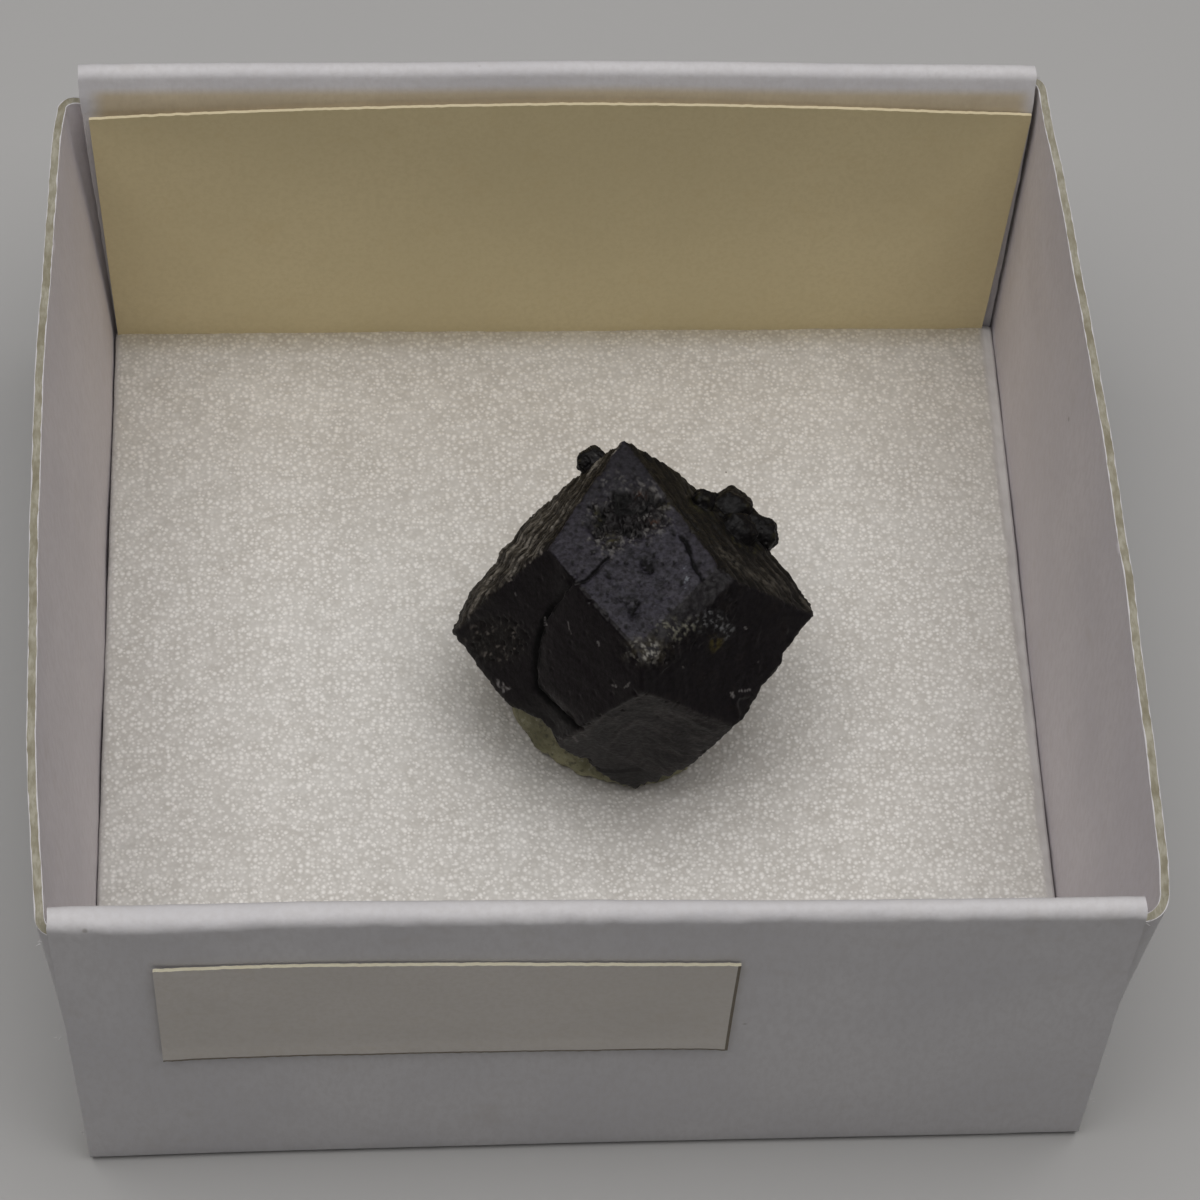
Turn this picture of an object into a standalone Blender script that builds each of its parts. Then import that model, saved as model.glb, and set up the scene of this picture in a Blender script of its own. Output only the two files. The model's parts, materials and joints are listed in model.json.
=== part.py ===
"""Black garnet on a little matrix, in the small folded card box it is kept in.

One tray folded from a card blank, a foam pad on its floor, a paper card standing against the back
wall, a paper sticker on the front wall, the garnet crystal with the small garnets grown on it, and
the pale matrix under it. Metres, +Z up. The origin is the centre of the tray's underside, X runs to
the right along the front wall and Y runs from the front wall to the back wall.
"""

import bmesh
import bpy
import math
from mathutils import Euler, Matrix, Vector

MM = 0.001

# Tray
SIDE = 40.0          # outer width and depth at the floor
WALL_H = 19.1        # top of the turned-over front and back walls
SIDE_H = 17.9        # top edge of the single-board side walls
BOARD = 0.45         # one thickness of board
PLY = 1.20           # front and back walls, two boards turned over each other
BOW = 1.20           # how far the side walls bow outwards halfway along their top edge
CORNER_R = 2.2       # rounding of the side walls' top corners
LEAN = 0.25          # how far the turned-over walls lean outwards at the top
GAP = 0.30           # kept between pieces that touch

# Pad, card and sticker
FOAM_TOP = 4.0
CARD_W, CARD_H, CARD_T = 38.7, 14.0, 0.30
CARD_FOOT_Y, CARD_HEAD_Y = 17.35, 18.20   # front of the card at its foot and at its head
STICKER_X = (-16.3, 5.2)
STICKER_Z = (9.4, 16.7)
STICKER_T = 0.15

# Garnet: a rhombic dodecahedron. Each face has its direction in the crystal, its distance from the
# centre and how far growth has tipped it, in degrees, about the face's two in-plane directions.
CENTRE = (2.44, -1.70, 10.60)
TILT = (51.1, -5.7, -1.9)
FACES = [
    ((0, 1, 1), 5.30, 3.4, 3.9),
    ((-1, 0, 1), 4.83, 1.1, -3.0),
    ((1, 0, 1), 5.53, -2.3, 3.3),
    ((0, -1, 1), 5.16, 2.6, -2.6),
    ((-1, 1, 0), 5.21, -1.6, -1.6),
    ((1, 1, 0), 5.23, 5.6, -1.8),
    ((-1, -1, 0), 5.56, 2.4, 0.6),
    ((1, -1, 0), 4.92, 0.9, -0.1),
    ((0, 1, -1), 5.26, 10.4, 1.1),
    ((-1, 0, -1), 6.30, -1.6, 0.0),
    ((1, 0, -1), 5.10, 0.3, 0.0),
]
# Where the crystal ends against the matrix: a plane that rises towards the back.
CONTACT_N = (-0.10, 0.40, -0.91)
CONTACT_D = 3.95
# The lower left corner is broken back to the matrix.
CHIP_N = (-0.62, -0.62, -0.25)
CHIP_D = 6.15

# Small garnets grown on it: centre and distance from the centre to a face, then how each is turned
SMALL = [
    ((6.38, 2.35, 12.60), 0.68, (20, 35, 10)),
    ((7.58, 1.40, 11.95), 0.54, (55, 10, 40)),
    ((5.18, 1.80, 13.90), 0.42, (5, 60, 25)),
    ((6.50, 0.75, 13.10), 0.58, (70, 15, 65)),
    ((0.72, 4.10, 13.40), 0.44, (30, 30, 0)),
]

# Matrix: corners of its foot on the foam, going round from the left, and its height
ROCK_FOOT = [
    (-3.0, -0.9), (-2.5, -2.3), (-1.8, -3.7), (-0.9, -4.6), (0.5, -5.3), (2.7, -5.6),
    (4.4, -5.0), (5.3, -3.9), (5.6, -1.8), (5.9, 0.2), (5.5, 2.1), (4.0, 3.4),
    (1.8, 3.9), (-0.6, 3.4), (-2.3, 2.1), (-3.0, 0.6),
]
ROCK_TOP = 9.4


def to_object(name, bm, color, rough):
    bmesh.ops.recalc_face_normals(bm, faces=bm.faces)
    mesh = bpy.data.meshes.new(name)
    bm.to_mesh(mesh)
    bm.free()
    mesh.transform(Matrix.Scale(MM, 4))
    obj = bpy.data.objects.new(name, mesh)
    bpy.context.scene.collection.objects.link(obj)
    mat = bpy.data.materials.new(name)
    mat.use_nodes = True
    bsdf = mat.node_tree.nodes["Principled BSDF"]
    bsdf.inputs["Base Color"].default_value = (*color, 1.0)
    bsdf.inputs["Roughness"].default_value = rough
    bsdf.inputs["Metallic"].default_value = 0.0
    mat.diffuse_color = (*color, 1.0)
    obj.data.materials.append(mat)
    return obj


def helper(name, bm):
    obj = to_object(name, bm, (0.5, 0.5, 0.5), 0.5)
    obj.hide_render = True
    obj.display_type = "WIRE"
    return obj


def boolean(obj, other, operation):
    mod = obj.modifiers.new(operation.lower(), "BOOLEAN")
    mod.operation = operation
    mod.solver = "EXACT"
    mod.object = other


def box(x0, x1, y0, y1, z0, z1):
    bm = bmesh.new()
    bmesh.ops.create_cube(bm, size=1.0)
    bmesh.ops.scale(bm, vec=(x1 - x0, y1 - y0, z1 - z0), verts=bm.verts)
    bmesh.ops.translate(bm, vec=((x0 + x1) / 2, (y0 + y1) / 2, (z0 + z1) / 2), verts=bm.verts)
    return bm


def slab(rows):
    """A closed skin over rows of points, each row a ring with the same count; both ends are capped."""
    bm = bmesh.new()
    rings = [[bm.verts.new(p) for p in row] for row in rows]
    n = len(rings[0])
    for a, b in zip(rings, rings[1:]):
        for i in range(n):
            j = (i + 1) % n
            bm.faces.new((a[i], a[j], b[j], b[i]))
    bm.faces.new(rings[0])
    bm.faces.new(rings[-1])
    return bm


def cleaved(planes, size=40.0):
    """The solid left when a block is split along each (point, outward normal) in turn."""
    bm = bmesh.new()
    bmesh.ops.create_cube(bm, size=size)
    mid = sum((Vector(p) for p, _ in planes), Vector()) / len(planes)
    bmesh.ops.translate(bm, vec=mid, verts=bm.verts)
    for point, normal in planes:
        geom = bm.verts[:] + bm.edges[:] + bm.faces[:]
        cut = bmesh.ops.bisect_plane(
            bm, geom=geom, dist=1e-6, plane_co=point, plane_no=normal, clear_outer=True
        )
        rim = [e for e in cut["geom_cut"] if isinstance(e, bmesh.types.BMEdge)]
        if rim:
            bmesh.ops.contextual_create(bm, geom=rim)
    return bm


def face_normal(hkl, tip_u, tip_v, turn):
    n = Vector(hkl).normalized()
    u = Vector([1.0 if abs(c) < 0.5 else 0.0 for c in n])
    v = n.cross(u)
    n = n + u * math.radians(tip_u) + v * math.radians(tip_v)
    return turn @ n.normalized()


def crystal_planes(grow=0.0):
    """(point, normal) of each face of the large crystal, moved out by grow."""
    turn = Euler([math.radians(a) for a in TILT], "XYZ").to_matrix()
    centre = Vector(CENTRE)
    planes = []
    for hkl, distance, tip_u, tip_v in FACES:
        n = face_normal(hkl, tip_u, tip_v, turn)
        planes.append((centre + n * (distance + grow), n))
    for normal, distance in ((CONTACT_N, CONTACT_D), (CHIP_N, CHIP_D)):
        n = Vector(normal).normalized()
        planes.append((centre + n * (distance + grow), n))
    return planes


def small_planes(centre, distance, turned, grow=0.0):
    turn = Euler([math.radians(a) for a in turned], "XYZ").to_matrix()
    planes = []
    for i in range(3):
        for a in (-1, 1):
            for b in (-1, 1):
                hkl = [0, 0, 0]
                hkl[i], hkl[(i + 1) % 3] = a, b
                n = turn @ Vector(hkl).normalized()
                planes.append((Vector(centre) + n * (distance + grow), n))
    return planes


def side_x(y, z):
    """Outer face of a side wall at depth y and height z: straight at the floor, bowed at the top."""
    along = 1.0 - abs(y / (SIDE / 2)) ** 2.6
    return SIDE / 2 + BOW * max(0.0, along) * (z / SIDE_H) ** 1.25


def side_top(y):
    """Height of a side wall's top edge: level, rounded down at its two ends."""
    end = SIDE / 2 - 0.1 - abs(y)
    if end >= CORNER_R:
        return SIDE_H
    return SIDE_H - CORNER_R + math.sqrt(max(0.0, CORNER_R**2 - (CORNER_R - end) ** 2))


def side_wall(sign):
    half = SIDE / 2 - 0.5
    steps, rises = 20, 4
    rows = []
    for i in range(steps + 1):
        y = -half * math.cos(math.pi * i / steps)
        top = side_top(y)
        outer = [(sign * side_x(y, top * k / rises), y, top * k / rises) for k in range(rises + 1)]
        inner = [(x - sign * BOARD, y, z) for x, y, z in reversed(outer)]
        rows.append(outer + inner)
    return slab(rows)


def folded_wall(sign):
    """A turned-over wall: two boards, leaning out a little, with a rolled top."""
    out = SIDE / 2
    r = PLY / 2
    profile = [(out, 0.0), (out + LEAN * 0.5, (WALL_H - r) * 0.6)]
    for k in range(7):
        a = math.pi * k / 6
        profile.append((out + LEAN - r + r * math.cos(a), WALL_H - r + r * math.sin(a)))
    profile.append((out - PLY + LEAN * 0.5, (WALL_H - r) * 0.6))
    profile.append((out - PLY, 0.0))
    half = SIDE / 2
    return slab([[(x, sign * y, z) for y, z in profile] for x in (-half, half)])


def crowned_pad(x, y, z0, z1, r):
    """A soft block with eased upper edges."""
    rows = [
        [(-x, -y, z0), (x, -y, z0), (x, y, z0), (-x, y, z0)],
        [(-x, -y, z1 - r), (x, -y, z1 - r), (x, y, z1 - r), (-x, y, z1 - r)],
        [(-x + r / 2, -y + r / 2, z1), (x - r / 2, -y + r / 2, z1), (x - r / 2, y - r / 2, z1), (-x + r / 2, y - r / 2, z1)],
    ]
    return slab(rows)


def rock():
    """The matrix before the crystal's seat is taken out of it: a low lump with an uneven outline."""
    z0 = FOAM_TOP + GAP
    count = len(ROCK_FOOT)
    cx = sum(p[0] for p in ROCK_FOOT) / count
    cy = sum(p[1] for p in ROCK_FOOT) / count
    rows = []
    for z, share in ((z0, 1.0), (z0 + 1.1, 1.03), (z0 + 2.4, 0.98), (ROCK_TOP - 1.2, 0.88), (ROCK_TOP, 0.62)):
        ring = []
        for k, (x, y) in enumerate(ROCK_FOOT):
            s = share * (1.0 + 0.02 * math.sin(2.3 * k + 1.7 * z))
            ring.append((cx + (x - cx) * s, cy + (y - cy) * s, z))
        rows.append(ring)
    return slab(rows)


def build():
    for obj in list(bpy.data.objects):
        bpy.data.objects.remove(obj, do_unlink=True)

    # Tray: floor, two turned-over walls and two bowed side walls, all one folded blank
    tray = to_object("card_box", box(-SIDE / 2 + 0.05, SIDE / 2 - 0.05, -SIDE / 2 + 0.05, SIDE / 2 - 0.05, 0.0, BOARD), (0.62, 0.61, 0.60), 0.75)
    for name, bm in (
        ("tray_front", folded_wall(-1)),
        ("tray_back", folded_wall(1)),
        ("tray_left", side_wall(-1)),
        ("tray_right", side_wall(1)),
    ):
        boolean(tray, helper(name, bm), "UNION")

    # Foam pad on the floor
    inner_x = SIDE / 2 - BOARD - GAP
    inner_y = SIDE / 2 - PLY - GAP
    to_object("foam_pad", crowned_pad(inner_x, inner_y, BOARD + GAP, FOAM_TOP, 0.25), (0.66, 0.64, 0.61), 0.6)

    # Paper card standing on the foam and leaning back on the wall
    z0 = FOAM_TOP + GAP
    foot, head, half = CARD_FOOT_Y, CARD_HEAD_Y, CARD_W / 2
    card = slab([
        [(-half, foot, z0), (half, foot, z0), (half, foot + CARD_T, z0), (-half, foot + CARD_T, z0)],
        [(-half, head, z0 + CARD_H), (half, head, z0 + CARD_H), (half, head + CARD_T, z0 + CARD_H), (-half, head + CARD_T, z0 + CARD_H)],
    ])
    to_object("label_card", card, (0.66, 0.60, 0.42), 0.8)

    # Sticker on the front wall, following its lean
    def wall_y(z):
        return -(SIDE / 2 + LEAN * z / (WALL_H - PLY / 2) + 0.02) - GAP

    rows = []
    for x in STICKER_X:
        (za, zb) = STICKER_Z
        rows.append([(x, wall_y(za), za), (x, wall_y(zb), zb), (x, wall_y(zb) - STICKER_T, zb), (x, wall_y(za) - STICKER_T, za)])
    to_object("number_label", slab(rows), (0.66, 0.62, 0.56), 0.7)

    # The garnet and the small garnets grown on it
    garnet = to_object("garnet", cleaved(crystal_planes()), (0.02, 0.018, 0.02), 0.3)
    for i, (centre, distance, turned) in enumerate(SMALL):
        boolean(garnet, helper(f"small_{i}", cleaved(small_planes(centre, distance, turned))), "UNION")

    # The matrix, with the crystal's seat taken out of it
    matrix = to_object("matrix", rock(), (0.30, 0.30, 0.15), 0.6)
    boolean(matrix, helper("seat", cleaved(crystal_planes(GAP))), "DIFFERENCE")


build()
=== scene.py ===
"""Looks of a black garnet crystal on a little pale matrix, in its folded card specimen box."""
import json
import math
import bpy
import bmesh
import numpy as np
from mathutils import Matrix, Vector

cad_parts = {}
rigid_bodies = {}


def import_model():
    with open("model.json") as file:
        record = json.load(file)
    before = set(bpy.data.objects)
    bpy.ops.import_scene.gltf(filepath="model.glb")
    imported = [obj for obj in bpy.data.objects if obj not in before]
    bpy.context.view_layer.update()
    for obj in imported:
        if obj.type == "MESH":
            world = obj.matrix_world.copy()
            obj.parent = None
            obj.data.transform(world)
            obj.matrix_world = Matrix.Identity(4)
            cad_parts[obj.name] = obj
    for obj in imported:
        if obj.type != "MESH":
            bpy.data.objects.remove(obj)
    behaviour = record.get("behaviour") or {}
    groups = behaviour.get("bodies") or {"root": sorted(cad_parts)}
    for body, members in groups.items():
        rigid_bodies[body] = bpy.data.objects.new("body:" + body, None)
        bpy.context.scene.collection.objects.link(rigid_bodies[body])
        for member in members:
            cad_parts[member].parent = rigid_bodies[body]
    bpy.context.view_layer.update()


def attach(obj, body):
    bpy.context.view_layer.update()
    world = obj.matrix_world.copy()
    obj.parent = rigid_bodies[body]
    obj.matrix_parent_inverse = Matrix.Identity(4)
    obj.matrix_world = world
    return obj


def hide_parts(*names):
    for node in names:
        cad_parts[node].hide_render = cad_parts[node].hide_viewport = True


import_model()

MM = 0.001

# --------------------------------------------------------------------------------------------
# Camera. All lengths in this file are millimetres until a mesh is made.
# --------------------------------------------------------------------------------------------
VIEW = np.array([[0.9983985, -0.0399097, 0.0400954],       # right
                 [-0.0123606, -0.8455131, -0.5338116],     # down
                 [0.0552054, 0.5324611, -0.8446523]])      # forward
EYE = np.array([-7.602, -83.802, 142.314])
FOCAL = 3845.787                                            # in pixels of the 1200 x 1200 frame

cam_data = bpy.data.cameras.new("camera")
cam_data.sensor_fit = "HORIZONTAL"
cam_data.sensor_width = 36.0
cam_data.lens = FOCAL * 36.0 / 1200.0
cam_data.clip_start = 0.01
cam_data.clip_end = 5.0
cam_data.dof.use_dof = False
camera = bpy.data.objects.new("camera", cam_data)
bpy.context.scene.collection.objects.link(camera)
m = Matrix.Identity(4)
for i in range(3):
    m[i][0] = VIEW[0][i]
    m[i][1] = -VIEW[1][i]
    m[i][2] = -VIEW[2][i]
    m[i][3] = EYE[i] * MM
camera.matrix_world = m
bpy.context.scene.camera = camera


def project(p):
    """World points, in mm, to places in the 1200 x 1200 frame."""
    q = (p - EYE) @ VIEW.T
    return 600 + FOCAL * q[:, 0] / q[:, 2], 600 + FOCAL * q[:, 1] / q[:, 2]


def lay(x, y, axis, value):
    """The point where the line of sight through a place in the frame meets the plane axis = value."""
    d = VIEW.T @ np.array([(x - 600) / FOCAL, (y - 600) / FOCAL, 1.0])
    return EYE + (value - EYE[axis]) / d[axis] * d


# --------------------------------------------------------------------------------------------
# Noise for the meshes: repeatable, from a hash of the lattice.
# --------------------------------------------------------------------------------------------
def hash32(ix, iy, iz, seed=0):
    h = (ix.astype(np.int64).astype(np.uint32) * np.uint32(0x8DA6B343)
         ^ iy.astype(np.int64).astype(np.uint32) * np.uint32(0xD8163841)
         ^ iz.astype(np.int64).astype(np.uint32) * np.uint32(0xCB1AB31F)
         ^ np.uint32((seed * 2654435761 + 97) & 0xFFFFFFFF))
    h ^= h >> np.uint32(16)
    h *= np.uint32(0x7FEB352D)
    h ^= h >> np.uint32(15)
    h *= np.uint32(0x846CA68B)
    h ^= h >> np.uint32(16)
    return h


GRADS = np.array([[1, 1, 0], [-1, 1, 0], [1, -1, 0], [-1, -1, 0], [1, 0, 1], [-1, 0, 1], [1, 0, -1], [-1, 0, -1],
                  [0, 1, 1], [0, -1, 1], [0, 1, -1], [0, -1, -1], [1, 1, 0], [-1, 1, 0], [0, -1, 1], [0, -1, -1]], float)


def noise(p, seed=0):
    i = np.floor(p)
    f = p - i
    w = f * f * f * (f * (f * 6 - 15) + 10)
    out = np.zeros(len(p))
    for dx in (0, 1):
        wx = w[:, 0] if dx else 1 - w[:, 0]
        for dy in (0, 1):
            wy = w[:, 1] if dy else 1 - w[:, 1]
            for dz in (0, 1):
                wz = w[:, 2] if dz else 1 - w[:, 2]
                g = GRADS[hash32(i[:, 0] + dx, i[:, 1] + dy, i[:, 2] + dz, seed) & np.uint32(15)]
                out += wx * wy * wz * (g[:, 0] * (f[:, 0] - dx) + g[:, 1] * (f[:, 1] - dy) + g[:, 2] * (f[:, 2] - dz))
    return out


def fbm(p, octaves=4, seed=0, gain=0.5):
    out = np.zeros(len(p))
    a = 1.0
    for k in range(octaves):
        out += a * noise(p * 2.03 ** k + 11.3 * k, seed + k)
        a *= gain
    return out


def ridged(p, octaves=3, seed=0, gain=0.5):
    out = np.zeros(len(p))
    a = 1.0
    for k in range(octaves):
        out += a * (1 - 2.2 * np.abs(noise(p * 2.07 ** k + 5.7 * k, seed + k)))
        a *= gain
    return out


def worley(p, seed=0, flat=False):
    """Distances to the nearest and second nearest of the scattered points, and the nearest one's own number."""
    i = np.floor(p)
    f1 = np.full(len(p), 9.0)
    f2 = np.full(len(p), 9.0)
    who = np.zeros(len(p))
    for dx in (-1, 0, 1):
        for dy in (-1, 0, 1):
            for dz in ((0,) if flat else (-1, 0, 1)):
                c = [i[:, 0] + dx, i[:, 1] + dy, i[:, 2] + dz]
                r = hash32(*c, seed)
                q = [(r & np.uint32(1023)) / 1023.0, ((r >> np.uint32(10)) & np.uint32(1023)) / 1023.0,
                     0.5 if flat else ((r >> np.uint32(20)) & np.uint32(1023)) / 1023.0]
                d = np.sqrt(sum((c[k] + q[k] - p[:, k]) ** 2 for k in range(2 if flat else 3)))
                near = d < f1
                f2 = np.where(near, f1, np.minimum(f2, d))
                who = np.where(near, (hash32(*c, seed + 77) & np.uint32(65535)) / 65535.0, who)
                f1 = np.where(near, d, f1)
    return f1, f2, who


def smooth(a, b, x):
    t = np.clip((x - a) / (b - a), 0, 1)
    return t * t * (3 - 2 * t)


def line_dist(x, y, pts, closed=False):
    pts = np.asarray(pts, float)
    if closed:
        pts = np.vstack([pts, pts[:1]])
    best = np.full(len(x), 1e9)
    for (ax, ay), (bx, by) in zip(pts[:-1], pts[1:]):
        dx, dy = bx - ax, by - ay
        t = np.clip(((x - ax) * dx + (y - ay) * dy) / (dx * dx + dy * dy), 0, 1)
        best = np.minimum(best, np.hypot(x - ax - t * dx, y - ay - t * dy))
    return best


def signed(x, y, poly):
    """Distance to a closed outline, below zero inside it."""
    poly = np.asarray(poly, float)
    odd = np.zeros(len(x), bool)
    j = len(poly) - 1
    for i in range(len(poly)):
        xi, yi = poly[i]
        xj, yj = poly[j]
        if yi != yj:
            odd ^= ((yi > y) != (yj > y)) & (x < (xj - xi) * (y - yi) / (yj - yi) + xi)
        j = i
    d = line_dist(x, y, poly, True)
    return np.where(odd, -d, d)


# --------------------------------------------------------------------------------------------
# Mesh and material helpers
# --------------------------------------------------------------------------------------------
class Shape:
    """Vertices, faces and face materials that are gathered into one mesh."""

    def __init__(self):
        self.v, self.f, self.m = [], [], []
        self.n = 0

    def add(self, verts, faces, mat=0):
        verts = np.asarray(verts, float)
        faces = np.asarray(faces, int)
        self.v.append(verts)
        self.f.append(faces + self.n)
        self.m.append(np.full(len(faces), mat) if np.isscalar(mat) else np.asarray(mat))
        self.n += len(verts)

    def verts(self):
        return np.vstack(self.v)

    def make(self, name, mats, tidy=True):
        me = bpy.data.meshes.new(name)
        v = self.verts()
        loops = np.concatenate([f.ravel() for f in self.f])
        sizes = np.concatenate([np.full(len(f), f.shape[1]) for f in self.f])
        starts = np.concatenate([[0], np.cumsum(sizes)[:-1]])
        me.vertices.add(len(v))
        me.vertices.foreach_set("co", (v * MM).astype(np.float32).ravel())
        me.loops.add(len(loops))
        me.loops.foreach_set("vertex_index", loops.astype(np.int32))
        me.polygons.add(len(sizes))
        me.polygons.foreach_set("loop_start", starts.astype(np.int32))
        for mat in mats:
            me.materials.append(mat)
        me.polygons.foreach_set("material_index", np.concatenate(self.m).astype(np.int32))
        me.polygons.foreach_set("use_smooth", np.ones(len(sizes), bool))
        me.update(calc_edges=True)
        if tidy:
            me.validate()
        ob = bpy.data.objects.new(name, me)
        bpy.context.scene.collection.objects.link(ob)
        return ob


def grid_faces(nu, nv, wrap_u=False, wrap_v=False, flip=False):
    """Quads over nu x nv points, stored row by row (v fastest)."""
    iu = np.arange(nu if wrap_u else nu - 1)
    iv = np.arange(nv if wrap_v else nv - 1)
    a, b = np.meshgrid(iu, iv, indexing="ij")
    a, b = a.ravel(), b.ravel()
    a1, b1 = (a + 1) % nu, (b + 1) % nv
    q = np.stack([a * nv + b, a1 * nv + b, a1 * nv + b1, a * nv + b1], 1)
    return q[:, ::-1] if flip else q


class Mat:
    def __init__(self, name):
        self.mat = bpy.data.materials.new(name)
        self.mat.use_nodes = True
        self.nt = self.mat.node_tree
        self.nt.nodes.clear()
        self.out = self.nt.nodes.new("ShaderNodeOutputMaterial")
        self.sh = self.nt.nodes.new("ShaderNodeBsdfPrincipled")
        self.nt.links.new(self.sh.outputs[0], self.out.inputs[0])
        self.co = self.nt.nodes.new("ShaderNodeTexCoord").outputs["Object"]

    def put(self, socket, value):
        if isinstance(value, bpy.types.NodeSocket):
            self.nt.links.new(value, socket)
        elif isinstance(value, (tuple, list)) and len(value) == 3 and socket.type == "RGBA":
            socket.default_value = (*value, 1.0)
        else:
            socket.default_value = value

    def set(self, **kw):
        for k, v in kw.items():
            self.put(self.sh.inputs[k.replace("_", " ")], v)

    def noise(self, scale, detail=3.0, rough=0.5, vec=None, dist=0.0, out="Fac"):
        n = self.nt.nodes.new("ShaderNodeTexNoise")
        self.put(n.inputs["Vector"], vec or self.co)
        n.inputs["Scale"].default_value = scale
        n.inputs["Detail"].default_value = detail
        n.inputs["Roughness"].default_value = rough
        n.inputs["Distortion"].default_value = dist
        return n.outputs[out]

    def cells(self, scale, vec=None, flat=False):
        """Nearest of the scattered points: its distance, and three values of its own."""
        n = self.nt.nodes.new("ShaderNodeTexVoronoi")
        n.voronoi_dimensions = "2D" if flat else "3D"
        self.put(n.inputs["Vector"], vec or self.co)
        n.inputs["Scale"].default_value = scale
        return n.outputs["Distance"], n.outputs["Color"]

    def stretch(self, sx, sy, sz, vec=None, rot=(0, 0, 0)):
        n = self.nt.nodes.new("ShaderNodeMapping")
        self.put(n.inputs["Vector"], vec or self.co)
        n.inputs["Scale"].default_value = (sx, sy, sz)
        n.inputs["Rotation"].default_value = rot
        return n.outputs[0]

    def band(self, x, a, b, lo=0.0, hi=1.0, kind="SMOOTHSTEP"):
        n = self.nt.nodes.new("ShaderNodeMapRange")
        n.interpolation_type = kind
        self.put(n.inputs["Value"], x)
        n.inputs["From Min"].default_value = a
        n.inputs["From Max"].default_value = b
        n.inputs["To Min"].default_value = lo
        n.inputs["To Max"].default_value = hi
        return n.outputs[0]

    def calc(self, op, a, b=0.0, c=0.0, clamp=False):
        n = self.nt.nodes.new("ShaderNodeMath")
        n.operation = op
        n.use_clamp = clamp
        for s, v in zip(n.inputs, (a, b, c)):
            self.put(s, v)
        return n.outputs[0]

    def mix(self, fac, a, b, mode="MIX"):
        n = self.nt.nodes.new("ShaderNodeMix")
        n.data_type = "RGBA"
        n.blend_type = mode
        self.put(n.inputs[0], fac)
        self.put(n.inputs[6], a)
        self.put(n.inputs[7], b)
        return n.outputs[2]

    def attr(self, name, out="Fac"):
        n = self.nt.nodes.new("ShaderNodeAttribute")
        n.attribute_name = name
        return n.outputs[out]

    def axis(self, k, vec=None):
        n = self.nt.nodes.new("ShaderNodeSeparateXYZ")
        self.put(n.inputs[0], vec or self.co)
        return n.outputs[k]

    def near(self, point, radius, soft=0.4):
        """1 at a spot of that radius (mm) round a point (mm), 0 away from it."""
        n = self.nt.nodes.new("ShaderNodeVectorMath")
        n.operation = "DISTANCE"
        self.put(n.inputs[0], self.co)
        n.inputs[1].default_value = tuple(c * MM for c in point)
        return self.band(n.outputs["Value"], radius * MM, radius * MM * (1 - soft))

    def bump(self, height, distance, strength=1.0, normal=None):
        n = self.nt.nodes.new("ShaderNodeBump")
        n.inputs["Strength"].default_value = strength
        n.inputs["Distance"].default_value = distance * MM
        self.put(n.inputs["Height"], height)
        if normal is not None:
            self.put(n.inputs["Normal"], normal)
        return n.outputs[0]


def paint(ob, name, rgb):
    """A colour for each vertex, worked out by the zone it lies in."""
    a = ob.data.color_attributes.new(name, "FLOAT_COLOR", "POINT")
    c = np.ones((len(rgb), 4), np.float32)
    c[:, :3] = rgb
    a.data.foreach_set("color", c.ravel())


def mark(ob, name, values):
    a = ob.data.attributes.new(name, "FLOAT", "POINT")
    a.data.foreach_set("value", np.asarray(values, np.float32))


def points(ob):
    v = np.zeros(len(ob.data.vertices) * 3, np.float32)
    ob.data.vertices.foreach_get("co", v)
    return v.reshape(-1, 3).astype(float) / MM


# --------------------------------------------------------------------------------------------
# The garnet: a rhombic dodecahedron. Each face has its own distance from the centre, as the
# crystal grew unevenly, and is a few degrees off its ideal direction.
# --------------------------------------------------------------------------------------------
CENTRE = np.array([2.44, -1.70, 10.60])
TURN = (51.1, -5.7, -1.9)
FACES = [((0, 1, 1), 5.30, 3.4, 3.9), ((-1, 0, 1), 4.83, 1.1, -3.0), ((1, 0, 1), 5.53, -2.3, 3.3),
         ((0, -1, 1), 5.16, 2.6, -2.6), ((-1, 1, 0), 5.21, -1.6, -1.6), ((1, 1, 0), 5.23, 5.6, -1.8),
         ((-1, -1, 0), 5.56, 2.4, 0.6), ((1, -1, 0), 4.92, 0.9, -0.1), ((0, 1, -1), 5.26, 10.4, 1.1),
         ((-1, 0, -1), 6.30, -1.6, 0.0), ((1, 0, -1), 5.10, 0.3, 0.0)]
CONTACT_N, CONTACT_D = np.array([-0.10, 0.40, -0.91]), 3.95
TOP, LEFT, RIGHT, LOW, UPL, UPR, LOWL, LOWR, BACK, BACKL, BACKR, CONTACT, BEVEL = range(13)


def euler(a):
    x, y, z = np.radians(a)
    rx = np.array([[1, 0, 0], [0, math.cos(x), -math.sin(x)], [0, math.sin(x), math.cos(x)]])
    ry = np.array([[math.cos(y), 0, math.sin(y)], [0, 1, 0], [-math.sin(y), 0, math.cos(y)]])
    rz = np.array([[math.cos(z), -math.sin(z), 0], [math.sin(z), math.cos(z), 0], [0, 0, 1]])
    return rz @ ry @ rx


def face_normal(hkl, tip_u, tip_v):
    h = np.array(hkl, float)
    n = h / np.linalg.norm(h)
    u = np.array([1.0 if abs(c) < 0.5 else 0.0 for c in h])
    v = np.cross(n, u)
    n = n + u * math.radians(tip_u) + v * math.radians(tip_v)
    n /= np.linalg.norm(n)
    return euler(TURN) @ n


NORMALS = [face_normal(f[0], f[2], f[3]) for f in FACES]
DISTS = [f[1] for f in FACES]
NORMALS.append(CONTACT_N / np.linalg.norm(CONTACT_N))
DISTS.append(CONTACT_D)
# the worn bevel between the top face and the right-hand one
k = NORMALS[TOP] * 0.80 + NORMALS[RIGHT] * 0.60
NORMALS.append(k / np.linalg.norm(k))
DISTS.append(5.98)
NORMALS = np.array(NORMALS)
DISTS = np.array(DISTS)


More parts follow.
